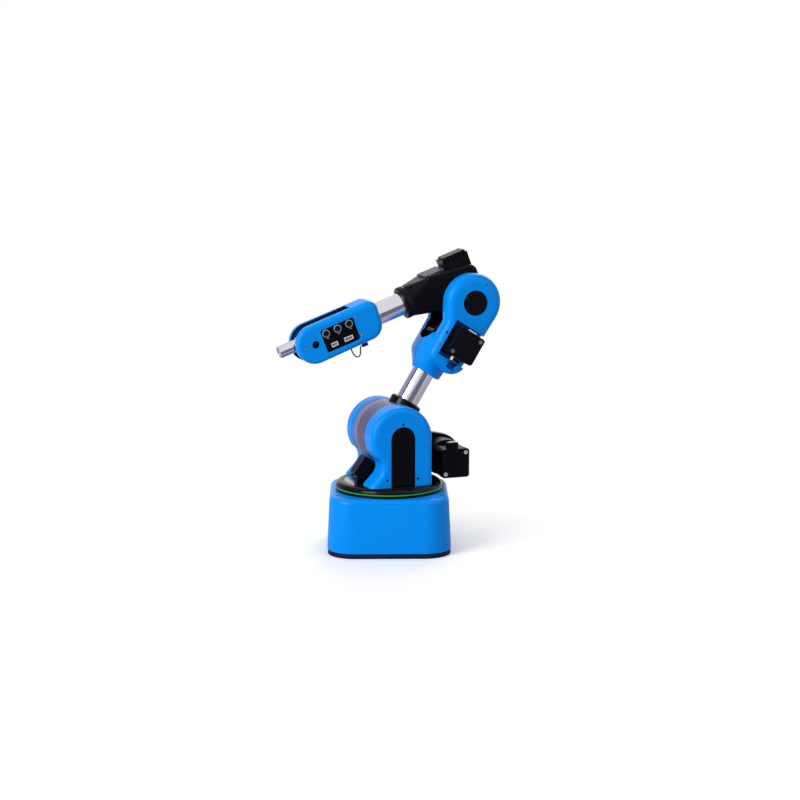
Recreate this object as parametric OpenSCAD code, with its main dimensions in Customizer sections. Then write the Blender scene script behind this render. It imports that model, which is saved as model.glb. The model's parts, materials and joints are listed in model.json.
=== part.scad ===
// Six axis desktop robot arm, in millimetres. The origin is the centre of the base on the floor,
// +X is the arm's own forward direction, +Y is its left side and +Z is up.

/* [Pose] */
// Turn of the arm about the vertical axis
turn = 18.64; // [0:0.01:40]
// Backward lean of the upper arm
lean = 31.6; // [20:0.1:33]
// Downward fold of the forearm from square to the upper arm
fold = 52.2; // [40:0.1:56]

/* [Arm] */
// Height of the shoulder axis
shoulder_z = 165.5; // [160:0.5:175]
// Length from the shoulder axis to the elbow axis
upper_l = 221; // [210:1:240]
// Length from the elbow axis to the wrist axis
fore_l = 235; // [225:1:250]
// Height of the forearm tube's axis over the elbow axis
fore_rise = 32.5; // [31:0.5:34]
// Outer radius of both arm tubes
tube_r = 16.5; // [15.5:0.1:17]
// Wall of both arm tubes
tube_wall = 2; // [1.5:0.5:3]

/* [Base] */
// Width of the square base at the floor
base_w = 178; // [174:1:186]
// Width of the base at its top face
base_top_w = 170; // [168:1:173]
// Height of the base's top face
base_h = 84; // [80:0.5:86]
// Corner radius of the base in plan
base_corner_r = 40; // [34:1:42]
// Fillet round the base's top edge
base_fillet = 7; // [4:0.5:8]
// Wall thickness of the base shell
base_wall = 3; // [2.5:0.25:3.5]
// Height of the black foot plate
foot_h = 7; // [5:0.5:8]
// Thickness of the steel chassis plate
chassis_t = 3; // [2:0.5:4]
// Height of the socket panel in the rear wall
panel_h = 46; // [40:1:48]
// Width of the socket panel in the rear wall
panel_w = 88; // [84:1:90]
// Thickness of the socket panel
panel_t = 2.5; // [2:0.25:3]

/* [Turntable] */
// Outer radius of the fixed ring on the base
ring_r = 77.5; // [75:0.5:80]
// Inner radius of the fixed ring
ring_bore_r = 66; // [64:0.5:68]
// Height of the turntable over the base's top face
ring_h = 13; // [12:0.5:14]
// Height of the green light line
light_h = 1.5; // [1:0.25:2]
// Radius of the hub under the turntable
hub_r = 34; // [32:0.5:36]
// Outer radius of the turntable's bearing
bearing_r = 48; // [46:0.5:50]
// Height of the turntable's bearing
bearing_h = 12; // [10:0.5:13]
// Radius of the driven belt pulley under the hub
big_pulley_r = 38; // [36:0.5:40]
// Radius of the base motor's pulley
small_pulley_r = 8; // [7:0.5:9]

/* [Shoulder] */
// Radius of the rounded shoulder covers
cover_r = 46; // [45:0.25:47]
// Half width across the two shoulder covers
cover_w = 60.5; // [58:0.5:63]
// Half width of the drum between the covers
drum_w = 26.5; // [25:0.5:28]
// Radius of the drum
drum_r = 45.5; // [44:0.25:46]
// Fillet round the outer face of a cover
cover_fillet = 8; // [6:0.5:9]
// Width of the black inlay on the left cover
inlay_w = 35.7; // [32:0.1:38]
// Radius of the black collar on the drum
collar_r = 23.5; // [22:0.25:24]

/* [Motors] */
// Width of a square stepper motor
motor_w = 42.3; // [42.3:0.1:43]
// Length of a stepper motor without its rear cover
motor_l = 26; // [24:0.5:28]
// Thickness of a motor's rear cover
motor_cover_t = 12; // [11:0.5:13]
// Pitch of a motor's corner screws
motor_pitch = 31; // [31:0.1:31.5]

/* [Elbow] */
// Radius of the elbow head
head_r = 42; // [41:0.25:43]
// Half width across the elbow housing
elbow_w = 45; // [44:0.5:47]
// Half width of the black body that turns in the elbow
link_w = 24; // [22:0.5:24.5]
// Fillet round the elbow housing's faces
elbow_fillet = 12; // [9:0.5:13]
// Radius of the round caps on the elbow axis
cap_r = 18; // [16:0.5:19]
// Radius of the elbow axle
axle_r = 8; // [7:0.25:9]
// Radius of the mouth of the elbow housing round the tube
mouth_r = 24.5; // [23.5:0.25:25]

/* [Wrist] */
// Half height of the wrist housing and radius of its round end
wrist_r = 27.5; // [27:0.25:29]
// Half width across the wrist housing
wrist_w = 24; // [23:0.25:25]
// Half width of the slot between the wrist cheeks
slot_w = 12; // [11.5:0.25:12.5]
// Fillet round the wrist housing's faces
wrist_fillet = 5; // [3:0.5:6]
// Pitch of the three push buttons
button_pitch = 18; // [16:0.25:18]
// Radius of a push button
button_r = 4; // [3.5:0.25:4.5]
// Travel of a push button
button_travel = 0.8; // [0.5:0.1:1]
// Radius of the tool shaft
shaft_r = 8.75; // [8:0.25:9.5]
// Length of the tool shaft in front of its hub
shaft_l = 29.5; // [26:0.5:32]
// Height of the tool shaft over the wrist axis
shaft_rise = 5.5; // [5:0.25:6]

/* [Hidden] */
$fn = 72;

// Fits: the gap between pieces that move past each other, and the running fit of a bearing.
gap = 0.4;
run = 0.05;
eps = 0.01;

blue = [0.0, 0.5, 0.93];
black = [0.06, 0.06, 0.07];
dark = [0.3, 0.28, 0.33];
steel = [0.75, 0.76, 0.78];
alu = [0.82, 0.82, 0.85];
white = [0.92, 0.92, 0.92];
green = [0.15, 0.65, 0.2];
rubber = [0.1, 0.1, 0.1];

base_draft = (base_w - base_top_w) / 2;
draft_angle = atan(base_draft / base_h);
corner_at = base_w / 2 - base_corner_r;
ceiling_z = base_h - base_wall;
floor_z = foot_h + chassis_t;
table_z = base_h + ring_h;
disc_r = ring_bore_r - gap;
disc_z = base_h + gap;
bearing_z = ceiling_z - bearing_h;
belt_w = 6;
belt_t = 1.6;
flange_t = 1.5;
belt_z = bearing_z - 9;
base_motor_h = belt_z - 2 * flange_t - 9 - floor_z;
drive_x = big_pulley_r + small_pulley_r + 11;

cover_in = drum_w + gap;
foot_post_r = 9;
waist_r = 16.8;
waist_at = [cover_r + 0.5, shoulder_z - 40];
chin_at = [cover_r - 20, shoulder_z - 25.5];
flare_top = [cover_r * 0.75, waist_at[1] - 11];
flare_foot = [cover_r + 1.8, table_z + 2.6];
inlay_top = inlay_w / 2;
inlay_t = 1.6;
inlay_sunk = 0.8;
stub_r = 12;
stub_l = 20;
shoulder_race_r = 24;
shoulder_race_w = 12;
collar_z = 53;
groove_w = -7;
rear_motor_at = [-92.4, table_z + 22.6];
rear_motor_face = 30;
rear_motor_front = rear_motor_face - motor_cover_t - motor_l;
belt_case_w = [-52, -38];
belt_case_r = 32;
over_ring = table_z + 1.4;

recess_f = 12;
rear_f = -head_r + 0.5;
waist_f = 22.8;
waist_a = -48;
chin_r = 16;
bulge_r = 18;
bulge_f = 28.5;
bulge_a = -81;
bulge_h = 36;
mouth_a = -120;
mouth_f = -2.8;
belly_a = -83;
belly_r = 24.5;
mouth_top = -100;
channel_w = link_w + gap;
link_bore = 34;
notch_f = recess_f + 0.5;
notch_a = -53.5;
liner_t = 2;
roller_r = 4.6;
elbow_motor_at = [-13.6, -61.2];
elbow_motor_in = channel_w + 0.6;
recess_a = [-89, -34];
cable_slot = [-23, -8];
cable_slot_a = -100;
cap_t = 2;
cable_r = 1.4;
cable_bend = 5;

link_back = [-14.5, 39];
link_back_r = 12;
link_top = 58.3;
nose_x = 50;
lip_x = 82;
lip_end = 91.3;
lip_r = 23.5;
race_r = 20.5;
servo_x = [-24, 16];
servo_w = 14;
servo_z = [42, 71.5];
lid_x = [18, 49];
lid_w = 18.5;
lid_t = 2.4;
bush_r = 14;
bush_w = 8;

cup_x = -fore_l + 131;
cup_r = [14, 21];
cup_fillet = 9;
tube_start = 52 - fore_l;
tube_end = cup_x + 14;
slot_x = -67;
slot_floor_x = -16;
face_x = [-63.5, -12];
face_z = [-17.5, 16];
face_sunk = 1.4;
button_x = -19;
button_z = 9.1;
ring_out_r = 5.75;
hole_r = 5.5;
hand_r = 14;
hand_w = slot_w - gap;
pin_w = wrist_w - 3;
servo_face = -28;
servo_top = 22;
hub_x = 19.5;
cord_r = 1;
cord_sides = 8;

// Frames: the turned arm, the leaning upper arm, the elbow, the forearm and the wrist.
module at_arm() rotate([0, 0, turn]) children();
module at_shoulder() at_arm() translate([0, 0, shoulder_z]) rotate([0, -lean, 0]) children();
module at_elbow() at_shoulder() translate([0, 0, upper_l]) children();
module at_link() at_elbow() rotate([0, fold, 0]) children();
module at_wrist() at_link() translate([fore_l, 0, fore_rise]) children();
module at_rear() translate([-base_w / 2, 0, 0]) rotate([0, draft_angle, 0]) children();

// A round bar along Y between two places.
module y_bar(r, y0, y1) translate([0, y1, 0]) rotate([90, 0, 0]) cylinder(r = r, h = y1 - y0);
// A round bar along X between two places.
module x_bar(r, x0, x1) translate([x0, 0, 0]) rotate([0, 90, 0]) cylinder(r = r, h = x1 - x0);
// An outline drawn in X and Z, made thick along Y between two places.
module y_plate(y0, y1) translate([0, y1, 0]) rotate([90, 0, 0]) linear_extrude(y1 - y0) children();
// A box between two corners.
module block(a, b) translate(a) cube(b - a);

// A rectangle with round corners, centred on its middle.
module round_rect(w, h, r) {
    square([w - 2 * r, h], center = true);
    square([w, h - 2 * r], center = true);
    for (x = [-1, 1], y = [-1, 1])
        translate([x * (w / 2 - r), y * (h / 2 - r)]) circle(r = r);
}

// A round post standing on XY with its upper edge rounded.
module soft_post(r, h, f) rotate_extrude($fn = 48) polygon(concat(
    [[0, 0], [r, 0]], [for (a = [0:18:90]) [r - f + f * cos(a), h - f + f * sin(a)]], [[0, h]]));

// The same post lying along Y on the side of the sign, from y0 out to y1, at a place in X and Z.
module side_post(side, at, r, y0, y1, f)
    translate([at[0], side * y0, at[1]]) rotate([-90 * side, 0, 0]) soft_post(r, y1 - y0, f);

// A round cutter along Y that flares out like a bell at the outer face.
module bell_cut(side, at, r, y0, y1, f)
    translate([at[0], side * y0, at[1]]) rotate([-90 * side, 0, 0]) rotate_extrude() polygon(concat(
        [[0, 0], [r, 0]], [for (a = [0:15:90]) [r + f * (1 - cos(a)), y1 - y0 - f + f * sin(a)]],
        [[r + f, y1 - y0 + 1], [0, y1 - y0 + 1]]));

// A round disc with both edges rounded, centred on its middle and lying along Z.
module soft_disc(r, h, f, facets = 32) rotate_extrude($fn = facets) polygon(concat(
    [[0, -h / 2]],
    [for (a = [-90:30:0]) [r - f + f * cos(a), -h / 2 + f + f * sin(a)]],
    [for (a = [0:30:90]) [r - f + f * cos(a), h / 2 - f + f * sin(a)]],
    [[0, h / 2]]));

// A small machine screw's head, standing on XY.
module screw_head(r, h) difference() {
    cylinder(r = r, h = h, $fn = 24);
    translate([0, 0, h / 2]) cylinder(r = r * 0.45, h = h, $fn = 6);
}

// A square stepper motor body with cut corners, standing on XY.
module stepper(h) difference() {
    translate([-motor_w / 2, -motor_w / 2, 0]) cube([motor_w, motor_w, h]);
    for (a = [45:90:315]) rotate([0, 0, a])
        translate([motor_w / sqrt(2) - 3, -5, -1]) cube([6, 10, h + 2]);
}

// A motor's black rear cover with two screw seats and a plug block, standing on XY.
module rear_cover(seats) difference() {
    linear_extrude(motor_cover_t) round_rect(motor_w, motor_w, 4);
    for (s = seats) translate([s * motor_pitch / 2, s * motor_pitch / 2, motor_cover_t - 1])
        cylinder(r = 3.2, h = 2);
}

// The two screws in those seats.
module cover_bolts() for (s = [-1, 1])
    translate([s * motor_pitch / 2, s * motor_pitch / 2, motor_cover_t - 1]) screw_head(3, 1.4);

// Radius of a corner post of the base at a height.
function base_r(z, inset) = base_corner_r - base_draft * z / base_h - inset;

// A solid with the plan of the base, from z0 to z1, with its upper edge rounded by f.
module base_form(inset, z0, z1, f) hull() for (x = [-1, 1], y = [-1, 1])
    translate([x * corner_at, y * corner_at, 0]) rotate_extrude($fn = 40) polygon(concat(
        [[0, z0], [base_r(z0, inset), z0]],
        [for (a = [0:18:90]) [base_r(z1 - f, inset) - f + f * cos(a), z1 - f + f * sin(a)]],
        [[0, z1]]));

// Base
module foot_plate() color(rubber) difference() {
    base_form(1, 0, foot_h, 0.5);
    for (x = [-1, 1], y = [-1, 1]) translate([x * corner_at, y * corner_at, foot_h - 2])
        cylinder(r = 3, h = 3);
}

module base_shell() color(blue) difference() {
    union() {
        difference() {
            base_form(0, foot_h, base_h, base_fillet);
            base_form(base_wall, foot_h - 1, ceiling_z, 2);
        }
        translate([0, 0, bearing_z - 3]) cylinder(r = bearing_r + 8, h = bearing_h + 3 + eps);
    }
    translate([0, 0, bearing_z]) cylinder(r = bearing_r, h = bearing_h + base_wall + 1);
    translate([0, 0, bearing_z - 4]) cylinder(r = bearing_r - 3, h = 5);
    at_rear() translate([-1, 0, floor_z + 10 + panel_h / 2]) rotate([0, 90, 0])
        linear_extrude(base_wall + 2) round_rect(panel_h, panel_w, 4);
    for (p = top_screws()) translate([p[0], p[1], base_h - 1.6]) cylinder(r = 2.6, h = 2);
}

function top_screws() = [for (x = [-1, 1], y = [-1, 1]) [x * (base_top_w / 2 - 11), y * 50]];

module chassis_plate() color(steel) difference() {
    base_form(base_wall + 0.3, foot_h, floor_z, 0.2);
    for (y = [-1, 1]) translate([-20, y * 50, foot_h - 1]) cylinder(r = 12, h = chassis_t + 2);
}

module base_motor() color(black) translate([drive_x, 0, floor_z]) difference() {
    stepper(base_motor_h);
    translate([0, 0, base_motor_h - 12]) cylinder(r = 2.5 + run, h = 13);
}

module belt_path(extra) hull() {
    circle(r = big_pulley_r + gap + extra);
    translate([drive_x, 0]) circle(r = small_pulley_r + gap + extra);
}

module base_belt() color(rubber) translate([0, 0, belt_z]) linear_extrude(belt_w) difference() {
    belt_path(belt_t);
    belt_path(0);
}

module base_bearing() color(steel) translate([0, 0, bearing_z]) difference() {
    cylinder(r = bearing_r, h = bearing_h);
    translate([0, 0, -1]) cylinder(r = hub_r + run, h = bearing_h + 2);
    translate([0, 0, bearing_h - 1]) difference() {
        cylinder(r = bearing_r - 4, h = 2);
        translate([0, 0, -1]) cylinder(r = hub_r + 4, h = 4);
    }
}

module ring_cover() color(black) rotate_extrude() difference() {
    polygon(concat(
        [[ring_bore_r, base_h], [ring_r, base_h], [ring_r, base_h + 6]],
        [for (a = [0:15:90]) [ring_r - 7.5 + 7.5 * cos(a), base_h + 6 + (ring_h - 6) * sin(a)]],
        [[ring_bore_r, table_z]]));
    translate([ring_r - 2.5, base_h + 4]) square([4, light_h]);
}

module light_ring() color(green) translate([0, 0, base_h + 4]) difference() {
    cylinder(r = ring_r + 0.3, h = light_h);
    translate([0, 0, -1]) cylinder(r = ring_r - 2.5, h = light_h + 2);
}

// Places on the rear panel: across, up, and the half sizes of each socket.
panel_z = floor_z + 10 + panel_h / 2;
net_at = [-panel_w * 4 / 11, panel_z];
usb_at = [-panel_w / 10, panel_z];
jack_at = [panel_w * 3 / 22, panel_z];
rocker_at = [panel_w * 4 / 11, panel_z];
net_size = [16, 13.5];
usb_size = [14.4, 15.6];
jack_r = 6;
rocker_size = [12, 19];
port_depth = 12;
panel_slack = 0.02;

module at_port(p) at_rear() translate([base_wall + panel_slack, p[0], p[1]])
    rotate([0, 90, 0]) children();

module rear_panel() color(black) difference() {
    at_port([0, panel_z]) linear_extrude(panel_t) round_rect(panel_h + 4, panel_w + 4, 4);
    at_port(net_at) cube([net_size[1] + 0.2, net_size[0] + 0.2, 20], center = true);
    at_port(usb_at) cube([usb_size[1] + 0.2, usb_size[0] + 0.2, 20], center = true);
    at_port(jack_at) translate([0, 0, -5]) cylinder(r = jack_r + 0.1, h = 20);
    at_port(rocker_at) cube([rocker_size[1] + 0.8, rocker_size[0] + 0.8, 20], center = true);
    for (y = [-1, 1], z = [-1, 1]) at_port([y * (panel_w / 2 - 4), panel_z + z * (panel_h / 2 - 4)])
        translate([0, 0, -1]) cylinder(r = 1.6, h = panel_t + 2);
}

module rear_ports() color(steel) {
    at_port(net_at) difference() {
        translate([0, 0, port_depth / 2 - 1.5]) cube([net_size[1], net_size[0], port_depth], center = true);
        translate([-4.4, -6, -2.5]) cube([7.4, 12, port_depth - 1]);
        translate([2.9, -3, -2.5]) cube([2.4, 6, port_depth - 1]);
    }
    at_port(usb_at) difference() {
        translate([0, 0, port_depth / 2 - 1.5]) cube([usb_size[1], usb_size[0], port_depth], center = true);
        for (x = [-1, 1]) translate([x * 3.7, 0, 0]) difference() {
            translate([-2.6, -6.3, -2.5]) cube([5.2, 12.6, port_depth - 1]);
            translate([-1.6, -5.6, -0.5]) cube([2, 11.2, port_depth]);
        }
    }
    at_port(jack_at) difference() {
        translate([0, 0, -1]) cylinder(r = jack_r, h = port_depth);
        translate([0, 0, -2]) difference() {
            cylinder(r = 3.2, h = port_depth - 1);
            cylinder(r = 1, h = port_depth);
        }
    }
}

module base_screws() color(steel) {
    for (p = top_screws()) translate([p[0], p[1], base_h - 1.6]) screw_head(2.5, 1.2);
    for (y = [-1, 1], z = [-1, 1]) at_port([y * (panel_w / 2 - 4), panel_z + z * (panel_h / 2 - 4)])
        rotate([180, 0, 0]) screw_head(2.2, 1.2);
    for (x = [-1, 1], y = [-1, 1]) translate([x * corner_at, y * corner_at, foot_h - 2])
        cylinder(r = 2.9, h = 2);
}

// The rocker stands at its off stop: its lower half is out.
rocker_tilt = 7;
rocker_pin_r = 1.4;
module power_rocker() color(black) at_port(rocker_at) translate([0, 0, panel_t / 2])
    rotate([0, rocker_tilt, 0]) translate([0, rocker_size[0] / 2, 0]) rotate([90, 0, 0]) {
    translate([0, 0, -0.3]) cylinder(r = rocker_pin_r, h = rocker_size[0] + 0.6);
    linear_extrude(rocker_size[0]) polygon([
        [-rocker_size[1] / 2, -4.2], [0, -3], [rocker_size[1] / 2, -4.2],
        [rocker_size[1] / 2 - 0.3, 1], [3, 4.5], [-3, 4.5], [-rocker_size[1] / 2 + 0.3, 1]]);
}

module base_pulley() color(steel) translate([drive_x, 0, 0]) {
    translate([0, 0, floor_z + base_motor_h - 11])
        cylinder(r = 2.5, h = belt_z - floor_z - base_motor_h + 11);
    translate([0, 0, belt_z - flange_t]) difference() {
        cylinder(r = small_pulley_r, h = belt_w + flange_t);
        for (a = [0:22.5:337.5]) rotate([0, 0, a]) translate([small_pulley_r, 0, flange_t])
            cylinder(r = 0.7, h = belt_w + 1, $fn = 16);
    }
    translate([0, 0, belt_z - 2 * flange_t]) cylinder(r = small_pulley_r + 1.2, h = flange_t);
}

// Turntable, in the turned frame
module turntable_disc() color(black) rotate_extrude() polygon(concat(
    [[0, disc_z], [disc_r, disc_z]],
    [for (a = [0:30:90]) [disc_r - 1.5 + 1.5 * cos(a), table_z - 1.5 + 1.5 * sin(a)]],
    [[0, table_z]]));

module turntable_hub() color(alu) difference() {
    union() {
        translate([0, 0, belt_z + belt_w]) cylinder(r = hub_r, h = disc_z - belt_z - belt_w);
        translate([0, 0, belt_z - flange_t]) cylinder(r = big_pulley_r, h = belt_w + flange_t + gap);
        translate([0, 0, belt_z - 2 * flange_t]) cylinder(r = big_pulley_r + 2, h = flange_t);
    }
    translate([0, 0, belt_z - 5]) cylinder(r = hub_r - 12, h = 60);
}

// A post under a shoulder cover's foot, at a place along X.
module foot_post(side, x)
    side_post(side, [x, table_z - 20], foot_post_r, cover_in, cover_w, cover_fillet);

// A shoulder cover: round on top, straight behind, with a waist and a flared foot in front.
module cover_shape(side) difference() {
    union() {
        hull() {
            side_post(side, [0, shoulder_z], cover_r, cover_in, cover_w, cover_fillet);
            for (x = [foot_post_r - cover_r, -foot_post_r / 2]) foot_post(side, x);
        }
        hull() {
            side_post(side, chin_at, foot_post_r, cover_in, cover_w, cover_fillet);
            for (x = [flare_foot[0] - foot_post_r, -foot_post_r]) foot_post(side, x);
        }
    }
    block([-100, -100, table_z - 40], [100, 100, table_z]);
    bell_cut(side, waist_at, waist_r, cover_in - 1, cover_w, 5);
    y_plate(-cover_w - 1, cover_w + 1) polygon([
        flare_top, flare_foot, [cover_r + 40, flare_foot[1]], [cover_r + 40, waist_at[1] + 22],
        [waist_at[0] + 2, waist_at[1] + waist_r], waist_at]);
    translate([0, 0, shoulder_z]) mirror([0, side > 0 ? 0 : 1, 0]) {
        y_bar(shoulder_race_r, cover_in - 1, cover_in + shoulder_race_w + 2);
        y_bar(stub_r + gap, cover_in - 1, cover_in + stub_l + gap);
    }
}

cover_screw_at = [[23, table_z + 11], [-23, table_z + 11], [-1, shoulder_z + 21.5]];

module inlay_outline(slack) union() {
    translate([-1, shoulder_z]) circle(r = inlay_top + slack);
    translate([-1 - inlay_top - slack, table_z - 1])
        square([2 * (inlay_top + slack), shoulder_z - table_z + 1]);
}

module shoulder_cover_left() color(blue) at_arm() difference() {
    cover_shape(1);
    y_plate(cover_w - inlay_sunk - inlay_t, cover_w + 1) inlay_outline(0.1);
    for (p = cover_screw_at) translate([p[0], 0, p[1]]) y_bar(1.8, cover_w - 1.5, cover_w + 1);
}

module shoulder_cover_right() color(blue) at_arm() cover_shape(-1);

module side_inlay() color(black) at_arm() intersection() {
    y_plate(cover_w - inlay_sunk - inlay_t, cover_w - inlay_sunk) inlay_outline(0);
    block([-50, 0, table_z + 0.1], [50, 100, table_z + 120]);
}

module cover_screws() color(steel) {
    at_arm() for (p = cover_screw_at)
        translate([p[0], cover_w - 1.5, p[1]]) rotate([-90, 0, 0]) screw_head(1.7, 1.2);
    at_rear_cover() cover_bolts();
}

// The block in front of the drum: its tilt, middle, size and foot.
block_tilt = 55;
block_at = [cover_r - 6, shoulder_z - drum_r - 3];
block_l = 31;
block_h = 28;
block_w = 20;
block_y = 10;
block_edge = 3;
foot_x = [cover_r - 6, cover_r + 8];
foot_w = 14;
tab_at = [cover_r + 12, shoulder_z - drum_r - 8];
tab_l = 11;
tab_w = 12;
module cable_block() color(black) at_arm() {
    difference() {
        hull() translate([block_at[0], block_y, block_at[1]]) rotate([0, block_tilt, 0])
            for (x = [-1, 1], z = [-1, 1])
                translate([x * (block_l / 2 - block_edge), 0, z * (block_h / 2 - block_edge)])
                rotate([90, 0, 0]) soft_disc(block_edge, block_w, 1, 20);
        block([0, -block_w, 0], [2 * cover_r, 2 * block_w, table_z + 0.2]);
    }
    block([foot_x[0], block_y - foot_w / 2, table_z], [foot_x[1], block_y + foot_w / 2, block_at[1] - 6]);
    translate([tab_at[0], block_y, tab_at[1]]) rotate([0, block_tilt - 21, 0])
        cube([tab_l, tab_w, 3], center = true);
}

// The bracket under the rear motor: an arm over the turntable and a round flange on the motor.
arm_x = [rear_motor_at[0] + 26.4, -30];
arm_w = [-24, -9];
arm_h = [18, 15];
boss_r = 11;
module motor_bracket() color(black) at_arm() {
    hull() {
        block([arm_x[0], arm_w[0], over_ring], [arm_x[0] + 4, arm_w[1], over_ring + arm_h[0]]);
        block([arm_x[1] - 4, arm_w[0], over_ring], [arm_x[1], arm_w[1], over_ring + arm_h[1]]);
    }
    block([arm_x[0] + 6, arm_w[0], table_z], [arm_x[1], arm_w[1], over_ring + 1]);
    translate([rear_motor_at[0], 0, rear_motor_at[1]]) difference() {
        intersection() {
            y_bar(motor_w / 2 + 7, belt_case_w[1], rear_motor_front);
            block([-60, -60, over_ring - rear_motor_at[1]], [26.5, 60, 60]);
        }
        y_bar(boss_r, -60, 0);
    }
}

module shoulder_motor() color(black) at_arm() translate([rear_motor_at[0], 0, rear_motor_at[1]])
    translate([0, rear_motor_front, 0]) rotate([-90, 0, 0]) {
        stepper(motor_l);
        translate([0, 0, -8]) cylinder(r = boss_r, h = 8 + eps);
    }

module at_rear_cover() at_arm()
    translate([rear_motor_at[0], rear_motor_face - motor_cover_t, rear_motor_at[1]])
    rotate([-90, 0, 0]) children();

module shoulder_motor_cover() color(black) at_rear_cover() {
    rear_cover([-1, 1]);
    difference() {
        translate([-4.6, -motor_w / 2 - 9, 1]) cube([16, 9 + eps, motor_cover_t - 3]);
        translate([-2.1, -motor_w / 2 - 10, 3]) cube([11, 7, motor_cover_t - 7]);
    }
}

module shoulder_plug() color(white) at_rear_cover()
    translate([-2, -motor_w / 2 - 10, 3.1]) cube([10.8, 6.9, motor_cover_t - 7.2]);

module belt_housing() color(black) at_arm() difference() {
    y_plate(belt_case_w[0], belt_case_w[1]) intersection() {
        hull() {
            translate(rear_motor_at) circle(r = belt_case_r);
            translate([-cover_r - 20, shoulder_z - 26]) circle(r = 18);
            translate([-cover_r - 4, rear_motor_at[1]]) circle(r = 21);
        }
        translate([-200, over_ring]) square([200 - cover_r - eps, 100]);
    }
    translate([rear_motor_at[0], 0, rear_motor_at[1]])
        y_bar(belt_case_r - 6, belt_case_w[0] - 1, belt_case_w[0] + 1);
}

module shoulder_bearings() color(steel) at_arm() translate([0, 0, shoulder_z])
    for (s = [0, 1]) mirror([0, s, 0]) difference() {
        y_bar(shoulder_race_r, cover_in + 2, cover_in + 2 + shoulder_race_w);
        y_bar(stub_r + run, cover_in, cover_in + shoulder_race_w + 4);
    }

// Upper arm
module shoulder_drum() color(dark) at_shoulder() difference() {
    union() {
        y_bar(drum_r, -drum_w, drum_w);
        y_bar(stub_r, -cover_in - stub_l, cover_in + stub_l);
    }
    cylinder(r = tube_r, h = drum_r + 10);
    translate([0, groove_w, 0]) rotate([90, 0, 0]) difference() {
        cylinder(r = drum_r + 1, h = 1.2, center = true);
        cylinder(r = drum_r - 0.8, h = 3, center = true);
    }
}

module tube_collar() color(black) at_shoulder() difference() {
    rotate_extrude() polygon([
        [tube_r, drum_r - 12], [collar_r, drum_r - 12], [collar_r, collar_z - 2],
        [collar_r - 2, collar_z], [tube_r, collar_z]]);
    y_bar(drum_r, -40, 40);
}

module upper_tube() color(alu) at_shoulder() difference() {
    cylinder(r = tube_r, h = upper_l + recess_a[0] - 2);
    translate([0, 0, -1]) cylinder(r = tube_r - tube_wall, h = upper_l);
    y_bar(stub_r + 8, -60, 60);
}

// An elbow cheek: round head, straight back, round belly, and a waist in front.
module elbow_cheek(side) difference() {
    hull() {
        side_post(side, [0, 0], head_r, 0, elbow_w, elbow_fillet);
        side_post(side, [rear_f + belly_r + 3, belly_a], belly_r, 0, elbow_w, elbow_fillet);
        side_post(side, [waist_f - elbow_fillet, mouth_top + 9], elbow_fillet, 0, elbow_w, elbow_fillet);
    }
    bell_cut(side, [waist_f + chin_r, waist_a], chin_r, -1, elbow_w, 7);
    block([waist_f, -60, mouth_a - 10], [waist_f + 40, 60, waist_a]);
}

// The lower body bulges to the front as an ellipse and runs down into the round mouth.
module elbow_belly(side) hull() {
    translate([bulge_f - bulge_r, 0, bulge_a]) scale([bulge_r / elbow_w, 1, 1])
        soft_disc(elbow_w, bulge_h, 8, 56);
    side_post(side, [waist_f - elbow_fillet, mouth_top + 9], elbow_fillet, 0, elbow_w, elbow_fillet);
    translate([mouth_f, 0, mouth_a + 3]) cylinder(r = mouth_r - 2, h = 1, $fn = 40);
}

// The mouth flares out upward into the belly.
module mouth_ring() translate([mouth_f, 0, 0]) rotate_extrude() polygon(concat(
    [[0, mouth_a]],
    [for (a = [-90:30:0]) [mouth_r - 4.5 + 2.5 * cos(a), mouth_a + 2.5 + 2.5 * sin(a)]],
    [[mouth_r - 0.5, mouth_top - 6], [mouth_r + 1.5, mouth_top], [0, mouth_top]]));

// A round bottomed opening to the front, seen along X, narrower by less and from x0 outward.
module front_notch(less, x0) hull() {
    translate([0, 0, notch_a]) x_bar(channel_w - less, x0, 80);
    block([x0, less - channel_w, notch_a], [80, channel_w - less, notch_a + 20]);
}

// The channel that the black body turns in, with its opening to the front.
module elbow_channel() {
    y_bar(link_bore, -channel_w, channel_w);
    block([-80, -channel_w, -28], [80, channel_w, 80]);
    y_plate(-channel_w, channel_w)
        polygon([[1, -20], [1, -42], [11, -43], [notch_f, -44], [80, -44], [80, -20]]);
    front_notch(0, notch_f);
}

module elbow_half(side) difference() {
    union() {
        elbow_cheek(side);
        elbow_belly(side);
        mouth_ring();
    }
    mirror([0, side > 0 ? 1 : 0, 0]) block([-100, 0, -200], [100, 100, 100]);
    elbow_channel();
    translate([0, 0, mouth_a - 1]) cylinder(r = tube_r, h = -mouth_a - 1 + recess_a[0]);
    y_bar(axle_r, -100, 100);
    mirror([0, side > 0 ? 0 : 1, 0]) y_bar(cap_r, elbow_w - cap_t, elbow_w + 1);
}

housing_screw_at = [[15.5, -56.7]];

module elbow_housing_left() color(blue) at_elbow() difference() {
    elbow_half(1);
    block([-60, elbow_motor_in, recess_a[0]], [recess_f, 100, recess_a[1]]);
    block([cable_slot[0], 34, cable_slot_a], [cable_slot[1], 100, recess_a[0] + 1]);
    translate([-1, 0, 31]) y_bar(1.3, elbow_w - 6, elbow_w + 1);
    for (p = housing_screw_at) translate([p[0], 0, p[1]]) y_bar(2, elbow_w - 7, elbow_w + 1);
}

module elbow_housing_right() color(blue) at_elbow() elbow_half(-1);

module axle_caps() color(black) at_elbow() for (s = [0, 1]) mirror([0, s, 0]) {
    y_bar(cap_r, elbow_w - cap_t, elbow_w + 0.2);
}

module elbow_axle() color(steel) at_elbow() y_bar(axle_r, cap_t - elbow_w, elbow_w - cap_t);

module elbow_motor() color(black) at_elbow()
    translate([elbow_motor_at[0], elbow_motor_in, elbow_motor_at[1]])
    rotate([-90, 0, 0]) stepper(motor_l);

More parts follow.
